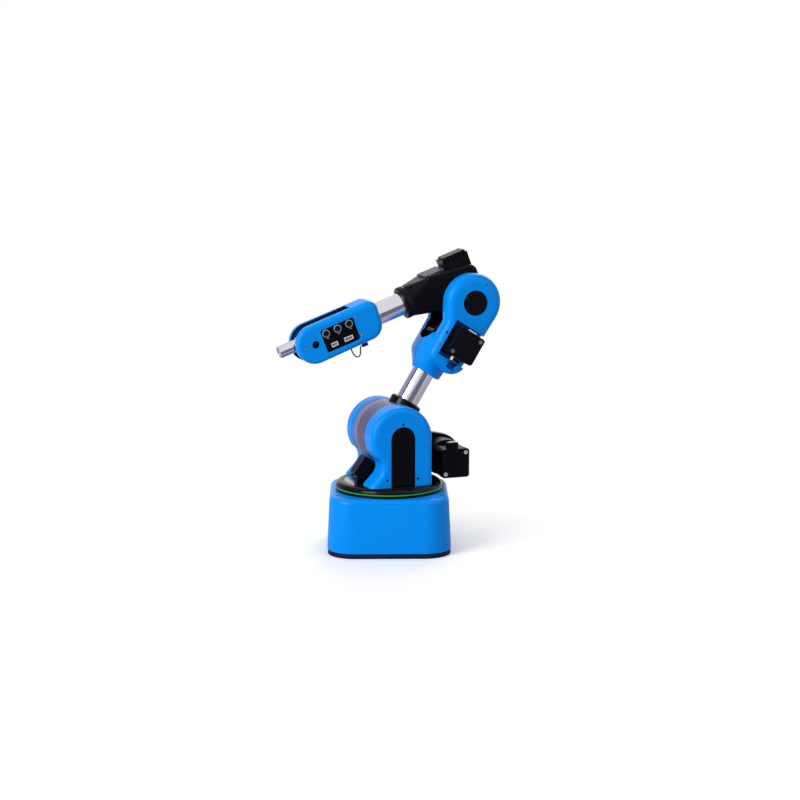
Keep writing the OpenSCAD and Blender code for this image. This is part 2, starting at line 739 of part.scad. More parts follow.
module at_elbow_cover() at_elbow()
    translate([elbow_motor_at[0], elbow_motor_in + motor_l, elbow_motor_at[1]])
    rotate([-90, 0, 0]) children();

module elbow_motor_cover() color(black) at_elbow_cover() difference() {
    rear_cover([-1, 1]);
    translate([-6.5, -motor_w / 2 - 1, 1]) cube([13, 5, 6]);
}

module elbow_plugs() color(white) at_elbow_cover() {
    translate([-6, -motor_w / 2 - 2.5, 1.2]) cube([12, 6, 5.4]);
    translate([-6, motor_w / 2, -6]) cube([12, 5.6, 9]);
}

module motor_cable() color(black) at_elbow_cover() translate([0, motor_w / 2 + 5.6, -2])
    for (z = [0, 3.2]) translate([0, 0, z]) rotate_extrude(angle = 180)
        translate([cable_bend, 0]) circle(r = cable_r, $fn = 16);

// The black liner at the back of the notch, with a roller across it.
module elbow_liner() color(black) at_elbow() {
    difference() {
        front_notch(run, notch_f + run);
        block([notch_f + liner_t, -60, -100], [100, 60, 0]);
        block([0, -60, -45], [100, 60, 0]);
    }
    for (w = [-1, 1]) translate([notch_f + liner_t - eps, w * 14 - 1.5, notch_a - 13]) cube([6, 3, 9]);
    translate([notch_f + liner_t + 4, 0, notch_a - 8.5]) y_bar(roller_r, -13, 13);
}

module housing_screws() color(steel) {
    at_elbow() for (p = housing_screw_at) translate([p[0], elbow_w - 7, p[1]])
        rotate([-90, 0, 0]) screw_head(1.9, 4.6);
    at_elbow_cover() cover_bolts();
}

// Elbow body that carries the forearm
module link_disc(x, z, r) translate([x, 0, z]) rotate([90, 0, 0]) soft_disc(r, 2 * link_w, 3);

module elbow_body() color(black) at_link() difference() {
    union() {
        hull() {
            link_disc(0, 0, 24);
            link_disc(link_back[0], link_back[1], link_back_r);
            link_disc(nose_x - 5, link_top - 5, 5);
            link_disc(nose_x - 5, 8, 5);
        }
        hull() {
            link_disc(nose_x - 6, link_top - 8, 6);
            link_disc(nose_x - 6, 10, 6);
            translate([lip_x, 0, fore_rise]) rotate([0, 90, 0]) cylinder(r = lip_r - 1, h = 2, $fn = 40);
        }
        translate([0, 0, fore_rise]) rotate([0, 90, 0]) rotate_extrude() polygon([
            [0, lip_x - 6], [lip_r - 2, lip_x - 6], [lip_r, lip_x + 2], [lip_r, lip_end - 1.2],
            [lip_r - 1.2, lip_end], [0, lip_end]]);
    }
    y_bar(axle_r + 4, -60, 60);
    for (s = [0, 1]) mirror([0, s, 0]) y_bar(bush_r, link_w - bush_w, link_w + 1);
    translate([0, 0, fore_rise]) {
        x_bar(race_r, nose_x - 14, lip_x);
        x_bar(tube_r + 0.7, nose_x, lip_end + 1);
    }
    block([servo_x[0] - 5, -servo_w - 0.2, servo_z[0]], [servo_x[1] + 0.2, servo_w + 0.2, 90]);
    block([lid_x[0], -lid_w, link_top - lid_t], [lid_x[1], lid_w, 90]);
    translate([74, 15, 51]) cylinder(r = 2.2, h = 10);
}

module elbow_lid() color(dark) at_link() difference() {
    translate([(lid_x[0] + lid_x[1]) / 2, 0, link_top - lid_t]) linear_extrude(lid_t + 0.6)
        round_rect(lid_x[1] - lid_x[0] - 0.2, 2 * lid_w - 0.2, 2);
    for (y = [-1, 1]) translate([lid_x[1] - 5, y * (lid_w - 5), link_top - 0.8]) cylinder(r = 2.2, h = 3);
}

module roll_servo() color(black) at_link() difference() {
    union() {
        block([servo_x[0], -servo_w, servo_z[0]], [servo_x[1], servo_w, servo_z[1] - 3]);
        block([servo_x[0] + 2, -servo_w + 2, servo_z[1] - 4], [servo_x[1] - 3, servo_w - 2, servo_z[1]]);
    }
    for (x = [servo_x[0] + 6:6:servo_x[1] - 4])
        block([x, -servo_w - 1, servo_z[1] - 9], [x + 2, -servo_w + 3.2, servo_z[1] + 1]);
    for (x = [servo_x[0] + 6:6:servo_x[1] - 4])
        block([x, servo_w - 3.2, servo_z[1] - 9], [x + 2, servo_w + 1, servo_z[1] + 1]);
}

module elbow_bearings() color(steel) at_link() for (s = [0, 1]) mirror([0, s, 0]) difference() {
    y_bar(bush_r, link_w - bush_w, link_w);
    y_bar(axle_r + run, link_w - bush_w - 1, link_w + 1);
}

module roll_bearing() color(steel) at_link() translate([0, 0, fore_rise]) difference() {
    x_bar(race_r, lip_x - 12, lip_x);
    x_bar(tube_r + run, lip_x - 13, lip_x + 1);
}

module elbow_screws() color(steel) at_link() for (y = [-1, 1])
    translate([lid_x[1] - 5, y * (lid_w - 5), link_top - 0.8]) screw_head(2.1, 1.2);

// Forearm
module forearm_tube() color(alu) at_wrist() difference() {
    x_bar(tube_r, tube_start, tube_end);
    x_bar(tube_r - tube_wall, tube_start - 1, tube_end + 1);
}

module wrist_half(side) difference() {
    hull() {
        side_post(side, [0, 0], wrist_r, 0, wrist_w, wrist_fillet);
        side_post(side, [cup_x + cup_r[0], wrist_r - cup_r[0]], cup_r[0], 0, wrist_w, cup_fillet);
        side_post(side, [cup_x + cup_r[1] + 1, cup_r[1] - wrist_r], cup_r[1], 0, wrist_w, cup_fillet);
    }
    block([slot_x, -slot_w, -12], [60, slot_w, 60]);
    block([slot_floor_x, -slot_w, -60], [60, slot_w, 60]);
    x_bar(tube_r, cup_x - 1, tube_end);
    x_bar(tube_r - tube_wall, cup_x, slot_x + 1);
    block([slot_x, -slot_w, -18], [servo_face, slot_w, 0]);
}

wrist_screw_at = [[-67, 14.5], [-67, -13.1], [15, -0.3]];
button_places = [for (i = [0:2]) button_x - i * button_pitch];

module wrist_housing_left() color(blue) at_wrist() difference() {
    wrist_half(1);
    translate([(face_x[0] + face_x[1]) / 2, 0, (face_z[0] + face_z[1]) / 2])
        y_plate(wrist_w - face_sunk, wrist_w + 1)
        round_rect(face_x[1] - face_x[0], face_z[1] - face_z[0], 3);
    for (x = button_places) translate([x, 0, button_z])
        y_bar(button_r + 0.5, wrist_w - 5.2 - button_travel, wrist_w);
    y_bar(hole_r, slot_w - 1, wrist_w + 1);
    for (p = wrist_screw_at) translate([p[0], 0, p[1]]) y_bar(2, wrist_w - 1.5, wrist_w + 1);
}

module wrist_housing_right() color(blue) at_wrist() difference() {
    wrist_half(-1);
    y_bar(hole_r, -wrist_w - 1, 1 - slot_w);
}

port_at = [[-25.5, -9.7, 10], [-47.4, -10, 13.5]];

// A socket's outline, smaller by less all round, between two places along Y.
module port_block(p, less, y0, y1)
    block([p[0] - p[2] / 2 + less, y0, p[1] - 3 + less], [p[0] + p[2] / 2 - less, y1, p[1] + 3 - less]);

module button_panel() color(black) at_wrist() difference() {
    translate([(face_x[0] + face_x[1]) / 2, 0, (face_z[0] + face_z[1]) / 2])
        y_plate(wrist_w - face_sunk, wrist_w - 0.1)
        round_rect(face_x[1] - face_x[0] - 0.2, face_z[1] - face_z[0] - 0.2, 2.9);
    for (x = button_places) translate([x, 0, button_z]) y_bar(ring_out_r, wrist_w - 3, wrist_w + 1);
    for (p = port_at) port_block(p, 0, 0, 40);
}

module button_rings() color(steel) at_wrist() for (x = button_places) translate([x, 0, button_z])
    difference() {
    y_bar(ring_out_r, wrist_w - face_sunk, wrist_w + 0.4);
    y_bar(button_r + 0.3, wrist_w - 3, wrist_w + 1);
}

module tool_ports() color(white) at_wrist() for (p = port_at) difference() {
    port_block(p, 0.1, wrist_w - face_sunk, wrist_w + 0.6);
    port_block(p, 1.1, wrist_w - 0.8, wrist_w + 2);
}

module push_button(i) color(black) at_wrist() translate([button_places[i], 0, button_z])
    y_bar(button_r, wrist_w - 4.5, wrist_w + 0.9);
module button_front() push_button(0);
module button_middle() push_button(1);
module button_rear() push_button(2);

module wrist_servo() color(black) at_wrist() difference() {
    block([slot_x + 0.3, -slot_w, -18], [servo_face, slot_w, servo_top]);
    for (x = [slot_x + 6:7:servo_face - 4])
        block([x, -slot_w - 1, servo_top - 2], [x + 2.5, slot_w + 1, servo_top + 1]);
}

module wrist_screws() color(steel) at_wrist() for (p = wrist_screw_at)
    translate([p[0], wrist_w - 1.5, p[1]]) rotate([-90, 0, 0]) screw_head(1.9, 1.3);

// The short lead under the wrist: points chosen by hand, forward and up from the wrist axis.
cord_route = [
    [-51.5, -27.6], [-51.3, -30], [-51.2, -33], [-51.4, -36.5], [-52, -40], [-53.2, -43.2],
    [-55.2, -45.6], [-57.6, -46.4], [-60, -45.4], [-61.8, -43], [-62.9, -40], [-63.8, -37.4],
    [-64.8, -35.5], [-66, -34.2], [-67.2, -33.6], [-68.6, -33.4]];

// The lead's direction at a point; it enters the plug square.
function cord_dir(i) =
    let (n = len(cord_route), a = cord_route[max(i - 1, 0)], b = cord_route[min(i + 1, n - 1)])
    i == n - 1 ? [-1, 0] : (b - a) / norm(b - a);
function cord_ring(i) = [for (k = [0:cord_sides - 1]) let (a = 360 * k / cord_sides, d = cord_dir(i))
    let (u = cord_r * cos(a))
    [cord_route[i][0] - d[1] * u, cord_r * sin(a), cord_route[i][1] + d[0] * u]];

module wrist_cord() color(black) at_wrist() {
    n = len(cord_route);
    points = [for (i = [0:n - 1]) each cord_ring(i)];
    sides = [for (i = [0:n - 2], k = [0:cord_sides - 1]) let (m = (k + 1) % cord_sides)
        [i * cord_sides + k, i * cord_sides + m, (i + 1) * cord_sides + m, (i + 1) * cord_sides + k]];
    ends = [[for (k = [cord_sides - 1:-1:0]) k], [for (k = [0:cord_sides - 1]) (n - 1) * cord_sides + k]];
    polyhedron(points, concat(sides, ends));
}

module cord_plug() color(black) at_wrist() block([-76.6, -3, -36], [-68.6, 3, -wrist_r]);

// Hand and tool
module hand_block() color(white) at_wrist() difference() {
    union() {
        y_bar(hand_r, -hand_w, hand_w);
        y_bar(hole_r - run, -pin_w, pin_w);
        translate([0, 0, shaft_rise]) x_bar(shaft_r + 1.5, 0, hub_x);
    }
    translate([0, 0, shaft_rise]) x_bar(shaft_r - 4, 4, hub_x + 1);
}

module tool_shaft() color(alu) at_wrist() translate([0, 0, shaft_rise]) {
    difference() {
        rotate([0, 90, 0]) rotate_extrude() polygon([
            [0, hub_x + gap], [shaft_r, hub_x + gap], [shaft_r, hub_x + shaft_l - 0.8],
            [shaft_r - 0.8, hub_x + shaft_l], [0, hub_x + shaft_l]]);
        x_bar(shaft_r - 2, hub_x + shaft_l - 1, hub_x + shaft_l + 1);
    }
    x_bar(shaft_r - 4 - run, 6, hub_x + gap + eps);
}

foot_plate();
base_shell();
chassis_plate();
base_motor();
base_belt();
base_bearing();
ring_cover();
light_ring();
rear_panel();
rear_ports();
base_screws();
power_rocker();
base_pulley();
turntable_disc();
turntable_hub();
shoulder_cover_left();
shoulder_cover_right();
side_inlay();
cable_block();
motor_bracket();
shoulder_motor();
shoulder_motor_cover();
shoulder_plug();
belt_housing();
shoulder_bearings();
cover_screws();
shoulder_drum();
tube_collar();
upper_tube();
elbow_housing_left();
elbow_housing_right();
axle_caps();
elbow_axle();
elbow_motor();
elbow_motor_cover();
elbow_plugs();
motor_cable();
elbow_liner();
housing_screws();
elbow_body();
elbow_lid();
roll_servo();
elbow_bearings();
roll_bearing();
elbow_screws();
forearm_tube();
wrist_housing_left();
wrist_housing_right();
button_panel();
button_rings();
tool_ports();
wrist_servo();
wrist_screws();
wrist_cord();
cord_plug();
hand_block();
tool_shaft();
button_front();
button_middle();
button_rear();
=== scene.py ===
"""Looks of a desktop robot arm: glossy blue housings, polished tubes and black drives.

Shapes are worked out in millimetres in the arm's own frames (the turned arm, the leaning upper
arm, the elbow, the forearm and the wrist) and are placed in metres in the shared frame.
"""

import json
import logging
import math
from collections.abc import Callable
from dataclasses import dataclass, field
from enum import Enum
from functools import reduce
from typing import ClassVar

import bmesh
import bpy
import numpy as np
from mathutils import Matrix, Vector

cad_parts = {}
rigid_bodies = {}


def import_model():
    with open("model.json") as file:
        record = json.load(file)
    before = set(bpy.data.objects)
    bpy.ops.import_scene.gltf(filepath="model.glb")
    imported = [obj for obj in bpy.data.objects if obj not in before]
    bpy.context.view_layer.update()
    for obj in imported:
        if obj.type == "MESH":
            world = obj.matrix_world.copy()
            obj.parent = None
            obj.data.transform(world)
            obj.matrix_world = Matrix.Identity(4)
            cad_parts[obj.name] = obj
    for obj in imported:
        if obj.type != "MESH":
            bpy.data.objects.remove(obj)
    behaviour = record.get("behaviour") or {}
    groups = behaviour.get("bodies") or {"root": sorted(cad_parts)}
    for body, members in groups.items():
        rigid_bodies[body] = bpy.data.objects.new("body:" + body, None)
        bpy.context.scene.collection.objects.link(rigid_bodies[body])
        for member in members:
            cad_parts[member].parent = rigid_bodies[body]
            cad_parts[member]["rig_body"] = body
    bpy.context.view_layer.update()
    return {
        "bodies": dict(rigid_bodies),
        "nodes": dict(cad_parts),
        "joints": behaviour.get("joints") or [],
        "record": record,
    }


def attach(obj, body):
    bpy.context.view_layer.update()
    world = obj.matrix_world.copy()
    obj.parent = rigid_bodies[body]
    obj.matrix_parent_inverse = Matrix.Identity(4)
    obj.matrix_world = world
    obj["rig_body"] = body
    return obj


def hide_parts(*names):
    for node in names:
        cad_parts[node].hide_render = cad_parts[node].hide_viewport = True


log = logging.getLogger("robot_arm")

Pair = tuple[float, float]
Triple = tuple[float, float, float]
Material, Mesh, Object = bpy.types.Material, bpy.types.Mesh, bpy.types.Object
Node, Socket, Tree = bpy.types.Node, bpy.types.NodeSocket, bpy.types.NodeTree

TURN, LEAN, FOLD = 18.64, 31.6, 52.2  # degrees at rest: the whole arm, the upper arm and the elbow
SHOULDER_Z, UPPER_L, FORE_L, FORE_RISE = 165.5, 221.0, 235.0, 32.5
TUBE_R, TUBE_BORE, TABLE_Z = 16.5, 14.5, 97.0
TUBE_SEAT_R, TUBE_FACETS = TUBE_R + 0.05, 128
MM = 0.001
SHARP = 32.0  # degrees from which an edge is drawn sharp or rounded


def turned(axis: str, degrees: float) -> Matrix:
    """A rotation matrix about a named axis."""
    return Matrix.Rotation(math.radians(degrees), 4, axis)


ARM = turned("Z", TURN)
SHOULDER = ARM @ Matrix.Translation((0, 0, SHOULDER_Z)) @ turned("Y", -LEAN)
ELBOW = SHOULDER @ Matrix.Translation((0, 0, UPPER_L))
LINK = ELBOW @ turned("Y", FOLD)
WRIST = LINK @ Matrix.Translation((FORE_L, 0, FORE_RISE))
WORLD = Matrix.Identity(4)


class Axis(Enum):
    """The axis that a round shape lies along, with the order that its coordinates are taken in."""

    X = (2, 0, 1)
    Y = (1, 2, 0)
    Z = (0, 1, 2)


# ---------------------------------------------------------------- closed shapes


@dataclass
class Shape:
    """A closed mesh in millimetres: its points and its faces."""

    points: np.ndarray
    faces: list[list[int]]

    def moved(self, x: float = 0, y: float = 0, z: float = 0) -> "Shape":
        """The same shape at another place."""
        return Shape(self.points + np.array([x, y, z]), self.faces)

    def looped(self, n: int) -> "Shape":
        """The same skin with its last ring of n points joined to its first, in place of flat ends."""
        last = len(self.points) - n
        joint = [[last + k, last + (k + 1) % n, (k + 1) % n, k] for k in range(n)]
        return Shape(self.points, self.faces[:-2] + joint)

    def with_shape(self, other: "Shape") -> "Shape":
        """Both shapes in one mesh, where they don't touch."""
        shift = len(self.points)
        faces = self.faces + [[i + shift for i in f] for f in other.faces]
        return Shape(np.vstack([self.points, other.points]), faces)


def box(low: Triple, high: Triple) -> Shape:
    """A box between two corners."""
    points = [(x, y, z) for x in (low[0], high[0]) for y in (low[1], high[1]) for z in (low[2], high[2])]
    faces = [[0, 1, 3, 2], [4, 6, 7, 5], [0, 4, 5, 1], [2, 3, 7, 6], [0, 2, 6, 4], [1, 5, 7, 3]]
    return Shape(np.array(points, float), faces)


def loft(rings: list[np.ndarray]) -> Shape:
    """A closed skin through rings of the same number of points, with flat ends."""
    n = len(rings[0])
    faces = [
        [i * n + k, i * n + (k + 1) % n, (i + 1) * n + (k + 1) % n, (i + 1) * n + k]
        for i in range(len(rings) - 1) for k in range(n)
    ]
    faces += [list(range(n))[::-1], [(len(rings) - 1) * n + k for k in range(n)]]
    return Shape(np.vstack(rings), faces)


def lathe(profile: list[Pair], axis: Axis, n: int = 96) -> Shape:
    """A turned shape.

    Args:
        profile: Radius and place along the axis, from end to end; radii over zero.
        axis: The axis that it turns about.
        n: Facets round it.

    Returns:
        The closed shape, or a ring where the profile returns to its first point.
    """
    angles = np.linspace(0, 2 * math.pi, n, endpoint=False)
    rings = [np.column_stack([r * np.cos(angles), r * np.sin(angles), np.full(n, z)]) for r, z in profile]
    shape = loft(rings[:-1]).looped(n) if profile[0] == profile[-1] else loft(rings)
    return Shape(shape.points[:, axis.value], shape.faces)


def band(axis: Axis, inner: float, outer: float, start: float, end: float, n: int) -> Shape:
    """A ring of square section between two radii and two places."""
    return lathe([(inner, start), (outer, start), (outer, end), (inner, end), (inner, start)], axis, n)


def bar(axis: Axis, r: float, start: float, end: float, n: int = 96, soft: float = 0.0) -> Shape:
    """A round bar between two places, with softened edges if asked."""
    if soft <= 0:
        return lathe([(r, start), (r, end)], axis, n)
    steps = [math.radians(a) for a in range(0, 91, 15)]
    low = [(r - soft + soft * math.sin(a), start + soft - soft * math.cos(a)) for a in steps]
    high = [(r - soft + soft * math.cos(a), end - soft + soft * math.sin(a)) for a in steps]
    return lathe(low + high, axis, n)


def arc(x: float, z: float, r: float, start: float, end: float, n: int) -> list[Pair]:
    """Points of an arc, its angles in degrees."""
    angles = np.radians(np.linspace(start, end, n))
    return [(x + r * math.cos(a), z + r * math.sin(a)) for a in angles]


def evened(outline: list[Pair], step: float) -> np.ndarray:
    """A closed outline with points added along its long straight stretches."""
    points = []
    for (x0, z0), (x1, z1) in zip(outline, outline[1:] + outline[:1]):
        pieces = max(1, round(math.hypot(x1 - x0, z1 - z0) / step))
        points += [(x0 + (x1 - x0) * k / pieces, z0 + (z1 - z0) * k / pieces) for k in range(pieces)]
    return np.array(points)


def inset(outline: np.ndarray, by: float) -> np.ndarray:
    """An outline drawn in on itself along its own normals; it runs anticlockwise."""
    ahead = np.roll(outline, -1, 0) - outline
    ahead /= np.linalg.norm(ahead, axis=1)[:, None]
    behind = np.roll(ahead, 1, 0)
    tangent = ahead + behind
    tangent /= np.linalg.norm(tangent, axis=1)[:, None]
    stretch = np.clip(np.einsum("ij,ij->i", tangent, ahead), 0.5, 1)
    normal = np.column_stack([-tangent[:, 1], tangent[:, 0]])
    return outline + normal * (by / stretch)[:, None]


def upright(outline: np.ndarray, y: float) -> np.ndarray:
    """An outline in X and Z as a ring of points at a place along Y."""
    return np.column_stack([outline[:, 0], np.full(len(outline), y), outline[:, 1]])


def pillow(
    outline: np.ndarray, y0: float, y1: float, soft: float, both: bool = False, steps: int = 9
) -> Shape:
    """An outline in X and Z made thick along Y, with its outer edge rounded.

    Args:
        outline: The closed outline, anticlockwise seen with X right and Z up.
        y0: Place of the inner face.
        y1: Place of the outer face; it may lie on either side.
        soft: Radius of the rounded edge.
        both: Whether the inner face is rounded too.
        steps: Rings in a rounded edge.

    Returns:
        The closed shape.
    """
    way = 1 if y1 > y0 else -1
    angles = [math.pi / 2 * k / (steps - 1) for k in range(steps)]
    marks = [(soft * (1 - math.cos(a)), y1 - way * soft * (1 - math.sin(a))) for a in angles]
    start = [(d, y0 + y1 - y) for d, y in reversed(marks)] if both else [(0.0, y0)]
    return loft([upright(inset(outline, d), y) for d, y in start + marks])


def prism(outline: list[Pair] | np.ndarray, y0: float, y1: float) -> Shape:
    """An outline in X and Z made thick along Y, with square edges."""
    return loft([upright(np.array(outline, float), y) for y in (y0, y1)])


def groove(outline: np.ndarray, y0: float, y1: float, deep: float) -> Shape:
    """A band that cuts a groove into the side of a shape with this outline."""
    outer, inner = inset(outline, -1.0), inset(outline, deep)
    corners = ((outer, y0), (outer, y1), (inner, y1), (inner, y0))
    return loft([upright(ring, y) for ring, y in corners]).looped(len(outline))


def rounded_box_outline(low: Pair, high: Pair, r: float) -> list[Pair]:
    """A rectangle with round corners, anticlockwise."""
    (x0, z0), (x1, z1) = low, high
    corners = ((x1 - r, z1 - r), (x0 + r, z1 - r), (x0 + r, z0 + r), (x1 - r, z0 + r))
    return [p for k, at in enumerate(corners) for p in arc(*at, r, 90 * k, 90 * k + 90, 7)]


def disc_points(at: Triple, axis: Axis, r: float, h: float, soft: float, n: int = 64) -> np.ndarray:
    """Points of a disc with both edges rounded, centred on a place."""
    return bar(axis, r, -h / 2, h / 2, n, soft).points + np.array(at)


def taken(work: bmesh.types.BMesh) -> Shape:
    """The shape of a working mesh, which is freed."""
    work.verts.index_update()
    points = np.array([v.co[:] for v in work.verts])
    shape = Shape(points, [[v.index for v in f.verts] for f in work.faces])
    work.free()
    return shape


def hull(*clouds: np.ndarray) -> Shape:
    """The convex form round some points."""
    work = bmesh.new()
    for p in np.vstack(clouds):
        work.verts.new(p)
    result = bmesh.ops.convex_hull(work, input=work.verts)
    within = result["geom_interior"] + result["geom_unused"]
    spare = {v for v in within if isinstance(v, bmesh.types.BMVert)}
    bmesh.ops.delete(work, geom=list(spare), context="VERTS")
    bmesh.ops.dissolve_limit(work, angle_limit=0.002, verts=work.verts, edges=work.edges)
    return taken(work)


# ---------------------------------------------------------------- workpieces


@dataclass
class Workpiece:
    """A piece on the bench: a first shape, then cuts, additions and smoothing in order."""

    first: Shape
    steps: list[tuple[str, object]] = field(default_factory=list)

    def cut(self, *shapes: Shape) -> "Workpiece":
        """Takes shapes away."""
        self.steps += [("DIFFERENCE", s) for s in shapes]
        return self

    def add(self, *shapes: Shape) -> "Workpiece":
        """Joins shapes on."""
        self.steps += [("UNION", s) for s in shapes]
        return self

    def melt(self, cell: float, passes: int) -> "Workpiece":
        """Rebuilds the skin at one cell size and smooths it, so that joints flow together."""
        self.steps.append(("MELT", (cell, passes)))
        return self

    def soften(self, width: float, angle: float = SHARP) -> "Workpiece":
        """Rounds every edge sharper than an angle by a small width."""
        self.steps.append(("SOFTEN", (width, angle)))
        return self

    def mesh(self, sharp: float = SHARP) -> Mesh:
        """Works the steps out.

        Args:
            sharp: Angle in degrees from which an edge is drawn sharp.

        Returns:
            The finished mesh, still in millimetres.
        """
        work, tools = _bench_object("work", self.first), []
        for kind, what in self.steps:
            if kind in ("MELT", "SOFTEN"):
                _evaluate(work)
            if kind == "MELT":
                remesh = work.modifiers.new("melt", "REMESH")
                remesh.mode, remesh.voxel_size, remesh.use_smooth_shade = "VOXEL", what[0], True
                smooth = work.modifiers.new("smooth", "SMOOTH")
                smooth.factor, smooth.iterations = 0.5, what[1]
                _evaluate(work)
            elif kind == "SOFTEN":
                bevel = work.modifiers.new("soften", "BEVEL")
                bevel.width, bevel.segments, bevel.limit_method = what[0], 2, "ANGLE"
                bevel.angle_limit, bevel.use_clamp_overlap = math.radians(what[1]), True
                _evaluate(work)
            else:
                tools.append(_bench_object("tool", what))
                boolean = work.modifiers.new(kind.lower(), "BOOLEAN")
                boolean.operation, boolean.object, boolean.solver = kind, tools[-1], "EXACT"
        _evaluate(work)
        work.data.shade_smooth()
        work.data.set_sharp_from_angle(angle=math.radians(sharp))
        work.modifiers.new("even", "WEIGHTED_NORMAL").keep_sharp = True
        _evaluate(work)
        mesh = work.data
        for obj in (work, *tools):
            bpy.data.objects.remove(obj)
        return mesh


def stand(name: str, data: bpy.types.ID) -> Object:
    """Stands a new object with some data in the scene."""
    obj = bpy.data.objects.new(name, data)
    bpy.context.scene.collection.objects.link(obj)
    return obj


def _bench_object(name: str, shape: Shape) -> Object:
    """An object of a shape, its faces turned outward."""
    mesh = bpy.data.meshes.new(name)
    mesh.from_pydata([tuple(p) for p in shape.points], [], shape.faces)
    work = bmesh.new()
    work.from_mesh(mesh)
    bmesh.ops.recalc_face_normals(work, faces=work.faces)
    work.to_mesh(mesh)
    work.free()
    mesh.shade_smooth()
    return stand(name, mesh)


def _evaluate(obj: Object) -> None:
    """Puts an object's modifiers into its mesh."""
    if not obj.modifiers:
        return
    bpy.context.view_layer.update()
    graph = bpy.context.evaluated_depsgraph_get()
    mesh = bpy.data.meshes.new_from_object(obj.evaluated_get(graph), depsgraph=graph)
    obj.modifiers.clear()
    obj.data = mesh


def in_metres(at: Matrix) -> Matrix:
    """A frame with its place given in metres."""
    frame = at.copy()
    frame.translation = at.translation * MM
    return frame


def tone(
    obj: Object, material: Material, chosen: Callable[[Vector, Vector], bool], at: Matrix
) -> None:
    """Gives some faces of a placed piece a second material.

    Args:
        obj: The piece.
        material: The second material.
        chosen: Tells from a face's middle and normal, in millimetres of the frame, whether it changes.
        at: The frame.
    """
    back = in_metres(at).inverted()
    obj.data.materials.append(material)
    for face in obj.data.polygons:
        if chosen(back @ face.center / MM, back.to_3x3() @ face.normal):
            face.material_index = 1


# ---------------------------------------------------------------- finishes


class Output(Enum):
    """What a shared effect puts out."""

    COLOUR = ("Colour", "NodeSocketColor")
    ROUGHNESS = ("Roughness", "NodeSocketFloat")
    HEIGHT = ("Height", "NodeSocketFloat")


def preset(node: Node, **values: object) -> Node:
    """Sets a node's inputs by name, with underscores for the spaces in a name."""
    for name, value in values.items():
        node.inputs[name.replace("_", " ")].default_value = value
    return node


def maths(tree: Tree, operation: str, a: object, b: object) -> Socket:
    """A sum of two sockets or numbers."""
    made = tree.nodes.new("ShaderNodeMath")
    made.operation = operation
    for socket, value in zip(made.inputs, (a, b)):
        if isinstance(value, Socket):
            tree.links.new(value, socket)
        else:
            socket.default_value = value
    return made.outputs[0]


def blank(name: str) -> tuple[Material, Tree, Node]:
    """A new material with its node tree and its shader node."""
    material = bpy.data.materials.new(name)
    material.use_nodes = True
    return material, material.node_tree, material.node_tree.nodes["Principled BSDF"]


class Effect:
    """A shader node group that is built once and placed in each material that uses it."""

    def __init__(self, name: str, inputs: dict[str, tuple[str, object]]) -> None:
        """Makes the group with its sockets.

        Args:
            name: The group's name.
            inputs: Each input's socket type and first value, by name.
        """
        self.tree = bpy.data.node_groups.new(name, "ShaderNodeTree")
        for label, (kind, value) in inputs.items():
            socket = self.tree.interface.new_socket(label, in_out="INPUT", socket_type=kind)
            socket.default_value = value
        for out in Output:
            self.tree.interface.new_socket(out.value[0], in_out="OUTPUT", socket_type=out.value[1])
        self.given = self.tree.nodes.new("NodeGroupInput")
        self.result = self.tree.nodes.new("NodeGroupOutput")

    def node(self, kind: str, **values: object) -> Node:
        """A node of the group with its properties set."""
        made = self.tree.nodes.new(kind)
        for key, value in values.items():
            setattr(made, key, value)
        return made

    def link(self, source: Socket, target: Socket) -> None:
        """Joins two sockets."""
        self.tree.links.new(source, target)

    def noise(self, where: Socket, scale: float, detail: float) -> Socket:
        """A soft noise over a place, from zero to one."""
        texture = preset(self.node("ShaderNodeTexNoise"), Scale=scale, Detail=detail)
        self.link(where, texture.inputs["Vector"])
        return texture.outputs["Fac"]

    def swing(self, noise: Socket, share: str) -> Socket:
        """A noise laid about zero, as strong as the input of that name says."""
        about_zero = maths(self.tree, "SUBTRACT", noise, 0.5)
        return maths(self.tree, "MULTIPLY", about_zero, self.given.outputs[share])

    def give(self, **values: Socket) -> None:
        """Puts values out of the group."""
        for name, value in values.items():
            self.link(value, self.result.inputs[name])

    def shade(self, by: Socket) -> None:
        """Puts the given colour out, made lighter or darker by a share."""
        shift = self.node("ShaderNodeHueSaturation")
        self.link(self.given.outputs["Colour"], shift.inputs["Color"])
        self.link(maths(self.tree, "ADD", by, 1.0), shift.inputs["Value"])
        self.give(Colour=shift.outputs["Color"])


def moulded_grain() -> Effect:
    """Moulded plastic: a fine grain, slow colour drift and faint handling marks."""
    effect = Effect("moulded_grain", {
        "Colour": ("NodeSocketColor", (0.5, 0.5, 0.5, 1)), "Roughness": ("NodeSocketFloat", 0.3),
        "Drift": ("NodeSocketFloat", 0.05), "Marks": ("NodeSocketFloat", 0.08)})
    where = effect.node("ShaderNodeTexCoord").outputs["Object"]
    scales = ((14, 3), (55, 6), (2400, 2), (160, 1))
    slow, patches, fine, broad = (effect.noise(where, *scale) for scale in scales)
    effect.shade(effect.swing(slow, "Drift"))
    marks = effect.swing(patches, "Marks")
    rough = maths(effect.tree, "ADD", effect.given.outputs["Roughness"], marks)
    effect.give(Roughness=rough, Height=maths(effect.tree, "ADD", fine, broad))
    return effect


